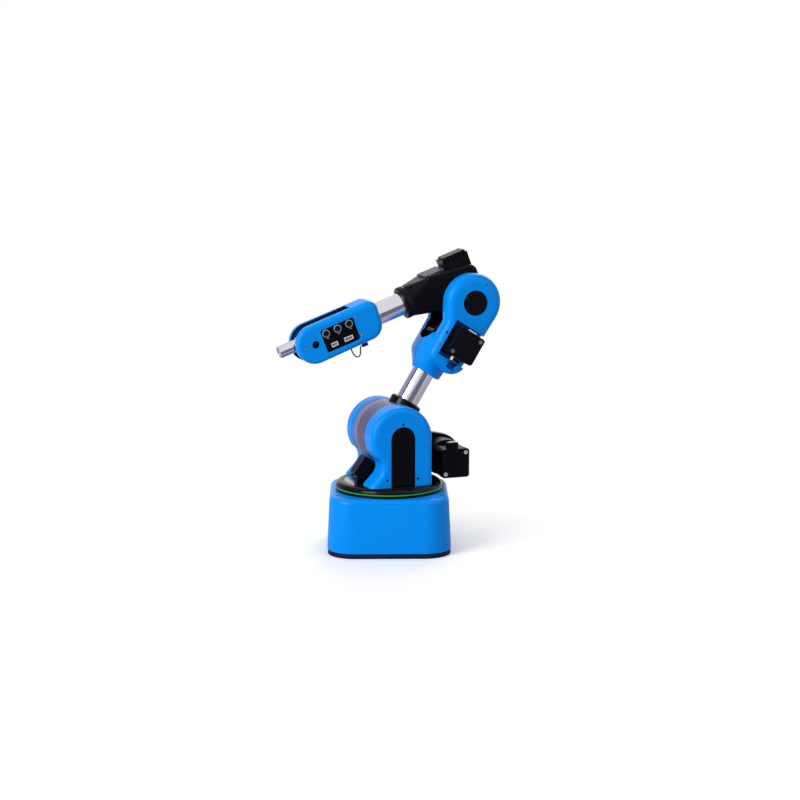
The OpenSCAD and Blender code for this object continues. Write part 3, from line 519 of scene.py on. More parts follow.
def drawn_lines() -> Effect:
    """Drawn or brushed metal: thin lines along one direction, and faint rubbed patches."""
    effect = Effect("drawn_lines", {
        "Colour": ("NodeSocketColor", (0.8, 0.8, 0.8, 1)), "Roughness": ("NodeSocketFloat", 0.2),
        "Turn": ("NodeSocketVector", (0, 0, 0)), "Lines": ("NodeSocketFloat", 0.1)})
    mapping = effect.node("ShaderNodeMapping", vector_type="TEXTURE")
    effect.link(effect.node("ShaderNodeTexCoord").outputs["Object"], mapping.inputs["Vector"])
    effect.link(effect.given.outputs["Turn"], mapping.inputs["Rotation"])
    stretch = effect.node("ShaderNodeVectorMath", operation="MULTIPLY")
    stretch.inputs[1].default_value = (1900, 1900, 14)
    effect.link(mapping.outputs["Vector"], stretch.inputs[0])
    lines = effect.noise(stretch.outputs["Vector"], 1, 2)
    spread = effect.swing(lines, "Lines")
    rubbed = maths(effect.tree, "MULTIPLY", effect.noise(mapping.outputs["Vector"], 45, 4), 0.08)
    rough = maths(effect.tree, "ADD", effect.given.outputs["Roughness"], spread)
    effect.shade(spread)
    effect.give(Roughness=maths(effect.tree, "ADD", rough, rubbed), Height=lines)
    return effect


def srgb(r: int, g: int, b: int) -> tuple[float, float, float, float]:
    """A colour given as it is seen, as the shader's linear colour."""
    values = [c / 255 for c in (r, g, b)]
    linear = [v / 12.92 if v <= 0.04045 else ((v + 0.055) / 1.055) ** 2.4 for v in values]
    return (*linear, 1.0)


def _material(
    name: str, effect: Effect, depth: float, reach: float
) -> tuple[Material, Node, Node]:
    """A material that takes colour, roughness and bump from a shared effect.

    Args:
        name: The material's name.
        effect: The shared effect.
        depth: Strength of the bump.
        reach: Height of the bump in metres.

    Returns:
        The material, its shader node and its effect node.
    """
    material, tree, shader = blank(name)
    grain = tree.nodes.new("ShaderNodeGroup")
    grain.node_tree = effect.tree
    bump = preset(tree.nodes.new("ShaderNodeBump"), Strength=depth, Distance=reach)
    tree.links.new(grain.outputs["Colour"], shader.inputs["Base Color"])
    tree.links.new(grain.outputs["Roughness"], shader.inputs["Roughness"])
    tree.links.new(grain.outputs["Height"], bump.inputs["Height"])
    tree.links.new(bump.outputs["Normal"], shader.inputs["Normal"])
    return material, shader, grain


GRAIN_HEIGHT, LINE_HEIGHT = 0.0001, 0.00005  # metres
COAT_ROUGHNESS = 0.12


@dataclass(frozen=True)
class Plastic:
    """A moulded plastic or paint finish, its colour as it is seen, from 0 to 255."""

    name: str
    colour: tuple[int, int, int]
    roughness: float
    drift: float
    marks: float
    depth: float
    level: float
    coat: float = 0.0
    glow: float = 0.0

    def build(self, effect: Effect) -> Material:
        """Makes the material from the shared grain."""
        material, shader, grain = _material(self.name, effect, self.depth, GRAIN_HEIGHT)
        colour = srgb(*self.colour)
        preset(grain, Colour=colour, Roughness=self.roughness, Drift=self.drift, Marks=self.marks)
        preset(shader, Coat_Weight=self.coat, Coat_Roughness=COAT_ROUGHNESS)
        preset(shader, Specular_IOR_Level=self.level)
        if self.glow:
            preset(shader, Emission_Color=colour, Emission_Strength=self.glow)
        return material


@dataclass(frozen=True)
class Metal:
    """A drawn, brushed or plated metal finish; its lines run along the frame's Z turned by an angle."""

    name: str
    colour: tuple[int, int, int]
    roughness: float
    lines: float
    depth: float
    along: Triple = (0.0, 0.0, 0.0)

    def build(self, effect: Effect) -> Material:
        """Makes the material from the shared lines."""
        material, shader, grain = _material(self.name, effect, self.depth, LINE_HEIGHT)
        preset(grain, Colour=srgb(*self.colour), Roughness=self.roughness, Lines=self.lines, Turn=self.along)
        preset(shader, Metallic=1.0)
        return material


def along(frame: Matrix, extra: Matrix) -> Triple:
    """The turn that lays a metal's lines along a frame's Z axis."""
    return tuple((frame @ extra).to_euler())


class Finishes:
    """Every finish of the arm, built once."""

    def __init__(self) -> None:
        """Builds the shared effects and the materials."""
        grain, lines = moulded_grain(), drawn_lines()

        def moulded(*values: object, **more: float) -> Material:
            """A plastic from its values in the order of the fields of Plastic."""
            return Plastic(*values, **more).build(grain)

        def drawn(*values: object) -> Material:
            """A metal from its values in the order of the fields of Metal."""
            return Metal(*values).build(lines)

        self.blue = moulded("blue_shell", (0, 141, 237), 0.28, 0.06, 0.08, 0.1, 0.09)
        self.foot = moulded("rubber_foot", (12, 30, 56), 0.55, 0.2, 0.1, 0.3, 0.1)
        self.belt = moulded("drive_belt", (28, 28, 30), 0.7, 0.2, 0.1, 0.4, 0.2)
        self.gloss = moulded("gloss_black", (7, 7, 12), 0.16, 0.15, 0.06, 0.03, 0.14)
        self.disc = moulded("turntable_black", (7, 7, 12), 0.14, 0.15, 0.06, 0.02, 0.5, coat=0.8)
        self.black = moulded("black_shell", (8, 8, 15), 0.3, 0.2, 0.1, 0.2, 0.1)
        self.motor = moulded("motor_black", (9, 9, 16), 0.4, 0.2, 0.1, 0.25, 0.07)
        # The drum's grey is painted sheen: black plastic given the colour of the lamps mirrored in it.
        self.drum = moulded("grey_drum", (118, 114, 148), 0.34, 0.08, 0.1, 0.1, 0.2)
        # The drum's near half is painted shade: the same grey made darker.
        self.drum_shaded_half = moulded("drum_near_half_painted_shade", (84, 80, 110), 0.34, 0.08, 0.1, 0.1, 0.2)
        # The lid's grey is painted sheen on black plastic.
        self.lid = moulded("lid_painted_sheen", (62, 57, 76), 0.4, 0.08, 0.1, 0.15, 0.2)
        self.white = moulded("white_plug", (232, 232, 236), 0.38, 0.04, 0.1, 0.1, 0.3)
        self.hand = moulded("pale_hand", (186, 188, 198), 0.3, 0.05, 0.1, 0.1, 0.3)
        self.light = moulded("green_light", (38, 150, 54), 0.4, 0.1, 0.05, 0.05, 0.3, glow=0.25)
        self.cap = moulded("button_cap", (14, 12, 20), 0.38, 0.1, 0.08, 0.15, 0.15)
        # Dark blue for the walls of grooves and slots: painted shade.
        self.inner = moulded("recess_painted_shade", (8, 40, 70), 0.4, 0.1, 0.1, 0.15, 0.12)
        self.lead = moulded("black_lead", (30, 27, 32), 0.55, 0.2, 0.1, 0.3, 0.2)
        self.mark = moulded("pale_mark", (170, 172, 182), 0.5, 0.03, 0.05, 0.05, 0.2)
        alu = (214, 212, 222)
        self.upper = drawn("upper_tube_metal", alu, 0.13, 0.12, 0.05, along(SHOULDER, WORLD))
        self.fore = drawn("fore_tube_metal", alu, 0.13, 0.12, 0.05, along(WRIST, turned("Y", 90)))
        self.steel = drawn("plain_steel", (170, 170, 176), 0.3, 0.15, 0.1)
        self.bright = drawn("bright_screw", (136, 130, 134), 0.34, 0.06, 0.03)
        self.pale = drawn("plated_screw", (205, 203, 208), 0.4, 0.06, 0.03)
        self.ring = drawn("button_ring", (172, 171, 174), 0.55, 0.06, 0.03)
        # Steel for screws, dark for its own colour and for the painted shade of the recesses that the screws
        # sit in.
        self.recess_shaded_steel = drawn("screw_recess_shade", (62, 62, 72), 0.35, 0.06, 0.03)


# ---------------------------------------------------------------- studio


@dataclass
class Studio:
    """The camera, the floor, the cards and the lamps; sizes in metres."""

    azimuth: float = 179.09
    elevation: float = 9.45
    distance: float = 2.54574
    lens: float = 79.47
    target: Triple = (-0.01622, 0.0, 0.21313)
    floor_half: float = 9.0
    straight_fade: Pair = (0.1, 0.28)
    mirrored_fade: Pair = (0.4, 1.5)
    floor_glow: float = 0.12
    surround: float = 0.36

    def camera(self) -> None:
        """Stands the camera where the photograph was taken from."""
        az, el = math.radians(self.azimuth), math.radians(self.elevation)
        back = Vector((math.sin(az) * math.cos(el), -math.cos(az) * math.cos(el), math.sin(el)))
        data = bpy.data.cameras.new("camera")
        data.lens, data.sensor_width = self.lens, 36
        camera = stand("camera", data)
        camera.location = Vector(self.target) + back * self.distance
        camera.rotation_euler = (-back).to_track_quat("-Z", "Y").to_euler()
        bpy.context.scene.camera = camera
        bpy.context.scene.view_settings.view_transform = "Standard"

    def seen(self, tree: Tree) -> Socket:
        """One for what the camera sees, straight, mirrored or through glass; zero for what only lights."""
        path = tree.nodes.new("ShaderNodeLightPath")
        direct = maths(tree, "MAXIMUM", path.outputs["Is Camera Ray"], path.outputs["Is Glossy Ray"])
        return maths(tree, "MAXIMUM", direct, path.outputs["Is Transmission Ray"])

    def fade(
        self, tree: Tree, value: Socket, reach: Pair
    ) -> Socket:
        """Zero up to the start of a reach, and one from its end on."""
        ramp = preset(tree.nodes.new("ShaderNodeMapRange"), From_Min=reach[0], From_Max=reach[1])
        tree.links.new(value, ramp.inputs["Value"])
        return ramp.outputs["Result"]

    def floor(self) -> None:
        """Lays a pale floor that fades into the background."""
        half = self.floor_half
        mesh = bpy.data.meshes.new("floor")
        corners = [(-half, -half, 0), (half, -half, 0), (half, half, 0), (-half, half, 0)]
        mesh.from_pydata(corners, [], [[0, 1, 2, 3]])
        floor = stand("floor", mesh)
        material, tree, shader = blank("floor")
        preset(shader, Roughness=0.7, Specular_IOR_Level=0.1, Emission_Color=(1, 1, 1, 1))
        link, ray = tree.links.new, tree.nodes.new("ShaderNodeLightPath").outputs["Is Camera Ray"]
        colour = tree.nodes.new("ShaderNodeMix")
        colour.data_type = "RGBA"
        preset(colour, A=(0.5, 0.48, 0.58, 1), B=(0.97, 0.97, 0.98, 1))
        link(ray, colour.inputs["Factor"])
        link(colour.outputs["Result"], shader.inputs["Base Color"])
        link(maths(tree, "MULTIPLY", ray, self.floor_glow), shader.inputs["Emission Strength"])
        distance = tree.nodes.new("ShaderNodeVectorMath")
        distance.operation = "LENGTH"
        link(tree.nodes.new("ShaderNodeTexCoord").outputs["Object"], distance.inputs[0])
        near = self.fade(tree, distance.outputs["Value"], self.straight_fade)
        far = self.fade(tree, distance.outputs["Value"], self.mirrored_fade)
        straight = maths(tree, "MULTIPLY", near, ray)
        mirrored = maths(tree, "MULTIPLY", far, self.seen(tree))
        mix = tree.nodes.new("ShaderNodeMixShader")
        link(maths(tree, "MAXIMUM", straight, mirrored), mix.inputs["Fac"])
        link(shader.outputs[0], mix.inputs[1])
        link(tree.nodes.new("ShaderNodeEmission").outputs[0], mix.inputs[2])
        link(mix.outputs[0], tree.nodes["Material Output"].inputs["Surface"])
        mesh.materials.append(material)

    def air(self) -> None:
        """Sets a white surround that lights the part softly."""
        world = bpy.data.worlds.new("surround")
        bpy.context.scene.world = world
        world.use_nodes = True
        tree = world.node_tree
        shade = preset(tree.nodes["Background"], Color=(1, 1, 1, 1))
        strength = preset(tree.nodes.new("ShaderNodeMapRange"), To_Min=self.surround, To_Max=1.0)
        tree.links.new(self.seen(tree), strength.inputs["Value"])
        tree.links.new(strength.outputs["Result"], shade.inputs["Strength"])

    def lamp(self, name: str, at: Triple, size: float, power: float) -> None:
        """Hangs one soft square lamp that faces the arm."""
        data = bpy.data.lights.new(name, "AREA")
        data.shape, data.size, data.energy = "SQUARE", size, power
        lamp = stand(name, data)
        lamp.location = at
        lamp.rotation_euler = (Vector((0, 0, 0.2)) - Vector(at)).to_track_quat("-Z", "Y").to_euler()

    def panel(
        self, name: str, start: float, end: float, section: tuple[Pair, ...],
        colour: Triple
    ) -> None:
        """Sets a curved card round the arm that only reflections show, as a studio's flags do.

        Args:
            name: The card's name.
            start: Where it starts, in degrees to the right of the camera as seen from the arm.
            end: Where it ends.
            section: Its distance from the arm and height, from its lower edge to its upper one.
            colour: How bright it looks.
        """
        toward, n = math.radians(self.azimuth), len(section)
        angles = toward + np.radians(np.linspace(start, end, 17))
        points = [(r * math.sin(a), -r * math.cos(a), z) for a in angles for r, z in section]
        cells = [n * k + i for k in range(len(angles) - 1) for i in range(n - 1)]
        mesh = bpy.data.meshes.new(name)
        mesh.from_pydata(points, [], [[c, c + n, c + n + 1, c + 1] for c in cells])
        card = stand(name, mesh)
        material, _, shader = blank(name)
        preset(shader, Base_Color=(0, 0, 0, 1), Specular_IOR_Level=0)
        preset(shader, Emission_Color=(*colour, 1), Emission_Strength=1)
        mesh.materials.append(material)
        card.visible_camera = card.visible_diffuse = card.visible_shadow = card.visible_transmission = False

    def set_up(self) -> None:
        """Sets the whole studio up."""
        self.camera()
        self.floor()
        self.air()
        self.lamp("key", (2.1, 1.9, 1.6), 1.6, 84)
        self.lamp("fill", (-2.2, 1.4, 1.6), 2.0, 12)
        self.lamp("back", (-0.6, -2.2, 2.0), 1.6, 34)
        self.panel("dark_card", -15, 52, ((0.45, 0.004), (1.4, 0.004), (1.4, 0.54)), (0.18, 0.18, 0.24))
        self.panel("left_card", -150, -60, ((1.4, 0.004), (1.4, 2.4)), (0.42, 0.4, 0.5))
        log.info("studio is up")


# ---------------------------------------------------------------- sub-assemblies


@dataclass
class Dresser:
    """Shares the frame and the finishes with the sub-assemblies."""


    AT: ClassVar[Matrix] = WORLD
    BODY: ClassVar[str] = "base"
    frame: dict
    finishes: Finishes

    def place(
        self, name: str, piece: Workpiece | Shape, material: Material, slot: str, *nodes: str,
        body: str = "", at: Matrix | None = None, sharp: float = SHARP
    ) -> Object:
        """Works a piece out and puts it where it belongs.

        Args:
            name: The piece's name.
            piece: The piece in millimetres of its frame.
            material: Its material.
            slot: Its material slot in the record; not used.
            nodes: The plain solids that it stands for.
            body: The body that carries it, if not the sub-assembly's own.
            at: Its frame, if not the sub-assembly's own.
            sharp: Angle in degrees from which an edge is drawn sharp.

        Returns:
            The placed object.
        """
        body = body or self.BODY
        mesh = (Workpiece(piece) if isinstance(piece, Shape) else piece).mesh(sharp)
        mesh.transform(in_metres(self.AT if at is None else at) @ Matrix.Scale(MM, 4))
        mesh.materials.clear()
        mesh.materials.append(material)
        mesh.name = name
        obj = stand(name, mesh)
        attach(obj, body)
        if nodes:
            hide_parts(*nodes)
        log.info("%s: %d faces, on %s", name, len(mesh.polygons), body)
        return obj

    def paint(self, material: Material, *nodes: str) -> None:
        """Gives plain solids a finish; their shapes stay."""
        for node in nodes:
            obj = self.frame["nodes"][node]
            obj.data.materials.clear()
            obj.data.materials.append(material)
            log.info("%s: kept, in %s", node, material.name)

    def refine(
        self, node: str, material: Material, slot: str, width: float = 0.4, angle: float = 35
    ) -> Object:
        """Stands a copy of a plain solid in its place, its edges rounded as moulded or machined edges are.

        Args:
            node: The solid.
            material: Its finish.
            slot: Its slot in the record.
            width: Width of the rounding in millimetres.
            angle: Angle in degrees from which an edge is rounded.

        Returns:
            The new piece.
        """
        source = self.frame["nodes"][node]
        work = bmesh.new()
        work.from_mesh(source.data)
        bmesh.ops.scale(work, vec=(1000, 1000, 1000), verts=work.verts)
        bmesh.ops.remove_doubles(work, verts=work.verts, dist=0.004)
        bmesh.ops.dissolve_limit(
            work, verts=work.verts, edges=work.edges,
            angle_limit=math.radians(0.5), use_dissolve_boundaries=False)
        piece = Workpiece(taken(work)).soften(width, angle)
        return self.place(
            f"{node}_piece", piece, material, slot, node, body=source["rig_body"], at=WORLD, sharp=angle)


@dataclass
class Base(Dresser):
    """The square base with its foot, ring and rear panel."""

    half: float = 49.0
    corner: float = 40.0
    draft: float = 4.0
    height: float = 84.0
    foot: float = 7.0
    fillet: float = 7.0
    wall: float = 3.0
    window: Pair = (44.0, 23.0)
    window_z: float = 43.0
    screws: Pair = (74.0, 50.0)

    def ring(self, z: float, r: float, facets: int = 25) -> np.ndarray:
        """A rounded square at a height with a corner radius."""
        points = []
        for k, (sx, sy) in enumerate(((1, 1), (-1, 1), (-1, -1), (1, -1))):
            points += arc(sx * self.half, sy * self.half, r, 90 * k, 90 * k + 90, facets)
        return np.column_stack([np.array(points), np.full(len(points), z)])

    def radius(self, z: float, deep: float) -> float:
        """The corner radius at a height."""
        return self.corner - self.draft * z / self.height - deep

    def skin(self, deep: float, z0: float, z1: float, soft: float) -> Shape:
        """A solid with the base's plan and a rounded top edge."""
        top = self.radius(z1 - soft, deep)
        low = z0 + 0.6
        rings = [self.ring(z0, self.radius(z0, deep) - 0.5), self.ring(low, self.radius(low, deep))]
        for a in np.radians(np.linspace(0, 90, 9)):
            rings.append(self.ring(z1 - soft + soft * math.sin(a), top - soft + soft * math.cos(a)))
        return loft(rings)

    def dress(self) -> None:
        """Makes the shell and the foot and paints what they carry."""
        paint = self.finishes
        lean = turned("Y", math.degrees(math.atan(self.draft / self.height)))
        rear = Matrix.Translation((-self.half - self.corner, 0, 0)) @ lean
        y, z = self.window
        window = prism(rounded_box_outline((-y, -z), (y, z), 4), -2, 6)
        window.points = window.points[:, (1, 0, 2)] + (0, 0, self.window_z)
        window.points = np.array([rear @ Vector(p) for p in window.points])
        shell = Workpiece(self.skin(0, self.foot, self.height, self.fillet))
        shell.cut(self.skin(self.wall, self.foot - 3, self.height - self.wall, 4))
        shell.cut(bar(Axis.Z, 60, 60, 100), window)
        for sx, sy in ((-1, -1), (-1, 1), (1, -1), (1, 1)):
            hole = bar(Axis.Z, 2.6, 82.4, 90, 32)
            shell.cut(hole.moved(sx * self.screws[0], sy * self.screws[1]))
        self.place("base_shell_piece", shell.soften(0.35), paint.blue, "blue_shell", "base_shell")
        self.place("foot_piece", self.skin(1, 0, self.foot, 0.8), paint.foot, "rubber_foot", "foot_plate")
        self.paint(paint.gloss, "ring_cover")
        self.paint(paint.light, "light_ring")
        self.paint(paint.black, "rear_panel")
        self.paint(paint.cap, "power_rocker")
        self.paint(paint.steel, "rear_ports", "chassis_plate", "base_bearing", "base_pulley")
        self.paint(paint.belt, "base_belt")
        self.paint(paint.motor, "base_motor")
        self.paint(paint.recess_shaded_steel, "base_screws")


@dataclass
class Shoulder(Dresser):
    """The turntable with the two blue shoulder covers, the inlay and the rear drive."""

    AT: ClassVar[Matrix] = ARM
    BODY: ClassVar[str] = "turntable"
    cover_r: float = 46.0
    inner: float = 26.9
    outer: float = 60.5
    fillet: float = 8.0
    inlay_x: float = -1.0
    inlay_half: float = 17.85
    seam: Triple = (-34.0, -32.6, 1.1)
    screws: tuple[Pair, ...] = ((23.0, 108.0), (-23.0, 108.0), (-1.0, 187.0))

    def outline(self) -> np.ndarray:
        """A cover's outline: round on top, straight behind, a waist and a flared foot in front."""
        r, foot = self.cover_r, TABLE_Z - 16
        points = [(49.4, foot), (47.8, 99.6)] + arc(46.5, 125.5, 16.8, 222, 124.5, 34)
        points += arc(31.9, 146.76, 9, -55.5, -30.4, 6)[1:] + arc(0, SHOULDER_Z, r, -30.4, 180, 70)[1:]
        points += [(-r, foot)]
        return evened(points, 6)

    def tongue(self, half: float, foot: float) -> list[Pair]:
        """The inlay's outline, round on top, from half its width and the height of its foot."""
        x = self.inlay_x
        return arc(x, SHOULDER_Z, half, 0, 180, 40) + [(x - half, foot), (x + half, foot)]

    def cover(self, side: int) -> Workpiece:
        """One cover, cut off flat at the turntable."""
        piece = Workpiece(pillow(self.outline(), side * self.inner, side * self.outer, self.fillet))
        return piece.cut(box((-80, -80, 60), (80, 80, TABLE_Z)))

    def dress(self) -> None:
        """Makes the covers and the inlay and paints the rest."""
        paint = self.finishes
        half = self.inlay_half
        left = self.cover(1).cut(prism(self.tongue(half + 0.2, 90), 58.1, 64))
        for x, z in self.screws:
            left.cut(bar(Axis.Y, 1.9, 59, 62, 32).moved(x, 0, z))
        self.place("cover_left", left.soften(0.3), paint.blue, "blue_shell", "shoulder_cover_left")
        right = self.cover(-1).cut(groove(self.outline(), *self.seam))
        far = self.place("cover_right", right.soften(0.3), paint.blue, "blue_shell", "shoulder_cover_right")
        start, end, _ = self.seam
        # The seam groove's faces get the dark blue: painted shade in the groove.
        tone(far, paint.inner, lambda at, normal: start - 0.1 < at.y < end + 0.1, ARM)
        inlay = pillow(evened(self.tongue(half, TABLE_Z + 0.3), 8), 58.2, 59.8, 0.35, steps=4)
        self.place("inlay", inlay, paint.gloss, "gloss_black", "side_inlay")
        self.paint(paint.disc, "turntable_disc")
        self.paint(paint.steel, "turntable_hub", "shoulder_bearings")
        self.paint(paint.recess_shaded_steel, "cover_screws")
        tone(self.frame["nodes"]["cover_screws"], paint.pale, lambda at, normal: at.x < -60, ARM)
        self.refine("cable_block", paint.gloss, "gloss_black", 0.3)
        self.refine("motor_bracket", paint.black, "black_shell", 1.2)
        self.refine("shoulder_motor", paint.motor, "motor_black", 0.5)
        self.refine("shoulder_motor_cover", paint.motor, "motor_black", 0.8)
        self.refine("belt_housing", paint.black, "black_shell", 2.0)
        self.refine("shoulder_plug", paint.white, "white_plug", 0.2)


@dataclass
class UpperArm(Dresser):
    """The drum, its collar, the upper tube and the blue elbow housing with its motor."""

    AT: ClassVar[Matrix] = ELBOW
    BODY: ClassVar[str] = "upper_arm"
    head: float = 42.0
    half_width: float = 45.0
    fillet: float = 12.0
    belly: Triple = (-14.0, -83.0, 24.5)
    mouth: float = -2.8
    channel: float = 24.4
    trough_x: float = 12.5
    trough_z: float = -53.5
    cap_r: float = 18.0
    cap_seat: float = 43.0
    drum_split: float = -7.0

    def cheek_outline(self) -> np.ndarray:
        """The housing's outline: round head, straight back, belly and the waist in front."""
        bx, bz, br = self.belly
        drop, wide = math.hypot(bx, bz), self.head - br
        lean = math.degrees(math.atan2(-bz, -bx))
        tangent = 90 + lean + math.degrees(math.asin(wide / drop))
        points = arc(0, 0, self.head, -28, tangent, 70)
        points += arc(bx, bz, br, tangent, 270, 18)
        points += arc(10.8, -91, 12, 270, 360, 10)
        points += arc(38.8, -48, 16, 180, 138, 10)
        return evened(points, 4)

    def body(self) -> Mesh:
        """The outer form of both halves together."""
        bulge = disc_points((0, 0, 0), Axis.Z, self.half_width, 36, 8) * (0.4, 1, 1) + (10.5, 0, -81)
        chin = disc_points((10.8, 0, -91), Axis.Y, 12, 90, 11.9)
        lip = disc_points((self.mouth, 0, -116.5), Axis.Z, 22.5, 1, 0.2)
        piece = Workpiece(pillow(self.cheek_outline(), -self.half_width, self.half_width, self.fillet, True))
        piece.add(hull(bulge, chin, lip))
        ring = lathe([(20, -120), (21.6, -119.5), (22.5, -118), (23.8, -106), (26, -100)], Axis.Z)
        return piece.add(ring.moved(self.mouth)).melt(1.0, 7).mesh(60)

    def opening(self) -> list[Shape]:
        """The channel that the black body turns in, with its round bottomed front."""
        wide, start, floor = self.channel, self.trough_x, self.trough_z
        window = prism([(1, -20), (1, -42), (11, -43), (start, -44), (80, -44), (80, -20)], -wide, wide)
        section = arc(0, floor, wide, 180, 360, 40) + [(wide, floor + 20), (-wide, floor + 20)]
        trough = prism(section, start, 80)
        trough = Shape(trough.points[:, (1, 0, 2)], trough.faces)
        return [bar(Axis.Y, 34, -wide, wide), box((-80, -wide, -28), (80, wide, 80)), window, trough]

    def housing(self, mesh: Mesh, side: int) -> Workpiece:
        """One half of the housing, cut from the whole form."""
        points = np.array([v.co[:] for v in mesh.vertices])
        piece = Workpiece(Shape(points, [list(p.vertices) for p in mesh.polygons]))
        near, far = sorted((side * 0.25, -side * 120))
        piece.cut(box((-200, near, -200), (200, far, 200)), *self.opening())
        piece.cut(bar(Axis.Z, TUBE_SEAT_R, -130, -85), bar(Axis.Y, 8.1, -60, 60))
        return piece.cut(bar(Axis.Y, self.cap_r + 0.1, *sorted((side * self.cap_seat, side * 50))))

    def inside(self, at: Vector, normal: Vector) -> bool:
        """Tells whether a face is painted black: a wall of the opening, where the black is painted shade and
        partly the black parts within, or a face of the seam between the halves, painted shade.
        """
        walls = abs(abs(at.y) - self.channel) < 0.1 and abs(normal.y) > 0.9
        round_floor = abs(math.hypot(at.y, at.z - self.trough_z) - self.channel) < 0.25
        floor = round_floor and at.z < self.trough_z + 0.1 and abs(normal.x) < 0.3
        back = abs(at.x - self.trough_x) < 0.1 and abs(normal.x) > 0.9 and abs(at.y) < self.channel
        seam = abs(at.y) < 0.3 and abs(normal.y) > 0.9
        return seam or (at.x > 0.9 and -79 < at.z < -20 and (walls or floor or back))

    def dress(self) -> None:
        """Makes the housing, the drum and the tube and paints the rest."""
        paint = self.finishes
        form = self.body()
        left = self.housing(form, 1)
        left.cut(box((-60, 25, -89), (12, 100, -34)), box((-23, 34, -100), (-8, 100, -88)))
        left.cut(bar(Axis.Y, 1.3, 39, 50, 24).moved(-1, 0, 31))
        left.cut(bar(Axis.Y, 2, 38, 50, 24).moved(15.5, 0, -56.7))
        for side, piece in (("left", left), ("right", self.housing(form, -1))):
            half = self.place(
                f"elbow_{side}", piece, paint.blue, "blue_shell", f"elbow_housing_{side}", sharp=38)
            # Walls of the opening and the seam faces in black: painted shade, and in the opening partly the
            # black parts within.
            tone(half, paint.black, self.inside, ELBOW)
        cap = bar(Axis.Y, self.cap_r, self.cap_seat, 45.3, 96, 0.5)
        caps = cap.with_shape(bar(Axis.Y, self.cap_r, -45.3, -self.cap_seat, 96, 0.5))
        self.place("caps", caps, paint.black, "black_shell", "axle_caps")
        tube = band(Axis.Z, TUBE_BORE, TUBE_R, 20, 130, TUBE_FACETS)
        self.place("upper_tube_piece", tube, paint.upper, "polished_tube", "upper_tube", at=SHOULDER)
        # The drum is grey as painted sheen, and its near half is darker as painted shade.
        drum = self.refine("shoulder_drum", paint.drum, "grey_drum", 0.25)
        split = self.drum_split
        tone(drum, paint.drum_shaded_half, lambda at, normal: at.y > split, SHOULDER)
        seal = band(Axis.Y, 44.6, 45.4, split - 0.55, split + 0.55, 144)
        self.place("drum_seal", seal, paint.black, "black_shell", at=SHOULDER)
        self.refine("elbow_liner", paint.black, "black_shell", 0.3)
        self.refine("tube_collar", paint.gloss, "black_shell", 0.8)
        self.paint(paint.steel, "elbow_axle")
        self.paint(paint.recess_shaded_steel, "housing_screws")
        tone(self.frame["nodes"]["housing_screws"], paint.bright, lambda at, normal: at.y > 45.5, ELBOW)
        self.paint(paint.lead, "motor_cable")
        self.refine("elbow_motor", paint.motor, "motor_black", 0.5)
        self.refine("elbow_motor_cover", paint.motor, "motor_black", 0.8)
        plugs = self.refine("elbow_plugs", paint.white, "white_plug", 0.2)
        tone(plugs, paint.black, lambda at, normal: at.z < -85 and normal.y > 0.7, ELBOW)


@dataclass
class Link(Dresser):
    """The black body that turns in the elbow and carries the forearm."""

    AT: ClassVar[Matrix] = LINK
    BODY: ClassVar[str] = "elbow_link"
    half_width: float = 24.0
    lip_x: float = 82.0
    lip_r: float = 23.5

    def dress(self) -> None:
        """Makes the body and paints what it carries."""
        paint = self.finishes
        wide = 2 * self.half_width
        discs = ((0, 0, 24), (-14.5, 39, 12), (45, 53.3, 5), (45, 8, 5))
        bulk = hull(*(disc_points((x, 0, z), Axis.Y, r, wide, 3) for x, z, r in discs))
        throat = (disc_points((44, 0, z), Axis.Y, 6, wide, 3) for z in (50.3, 10))
        neck = hull(*throat, disc_points((self.lip_x + 1, 0, FORE_RISE), Axis.X, self.lip_r - 1, 2, 0.3))
        lip = lathe([(21.5, 76), (23.5, 84), (23.5, 90.1), (22.3, 91.3)], Axis.X).moved(0, 0, FORE_RISE)
        piece = Workpiece(bulk).add(neck, lip).melt(0.9, 3)
        piece.cut(bar(Axis.Y, 12, -60, 60), bar(Axis.Y, 14, 16, 30), bar(Axis.Y, 14, -30, -16))
        piece.cut(bar(Axis.X, 17.2, 50, 93).moved(0, 0, FORE_RISE), box((-29, -14.2, 42), (16.2, 14.2, 90)))
        piece.cut(box((18, -18.5, 55.9), (49, 18.5, 90)), bar(Axis.Z, 2.2, 51, 61, 24).moved(74, 15))
        self.place("elbow_body_piece", piece, paint.black, "black_shell", "elbow_body", sharp=38)
        # The lid is grey as painted sheen.
        self.refine("elbow_lid", paint.lid, "grey_drum", 0.4)
        self.refine("roll_servo", paint.black, "black_shell", 0.5)
        self.paint(paint.steel, "elbow_bearings", "roll_bearing")
        self.paint(paint.recess_shaded_steel, "elbow_screws")


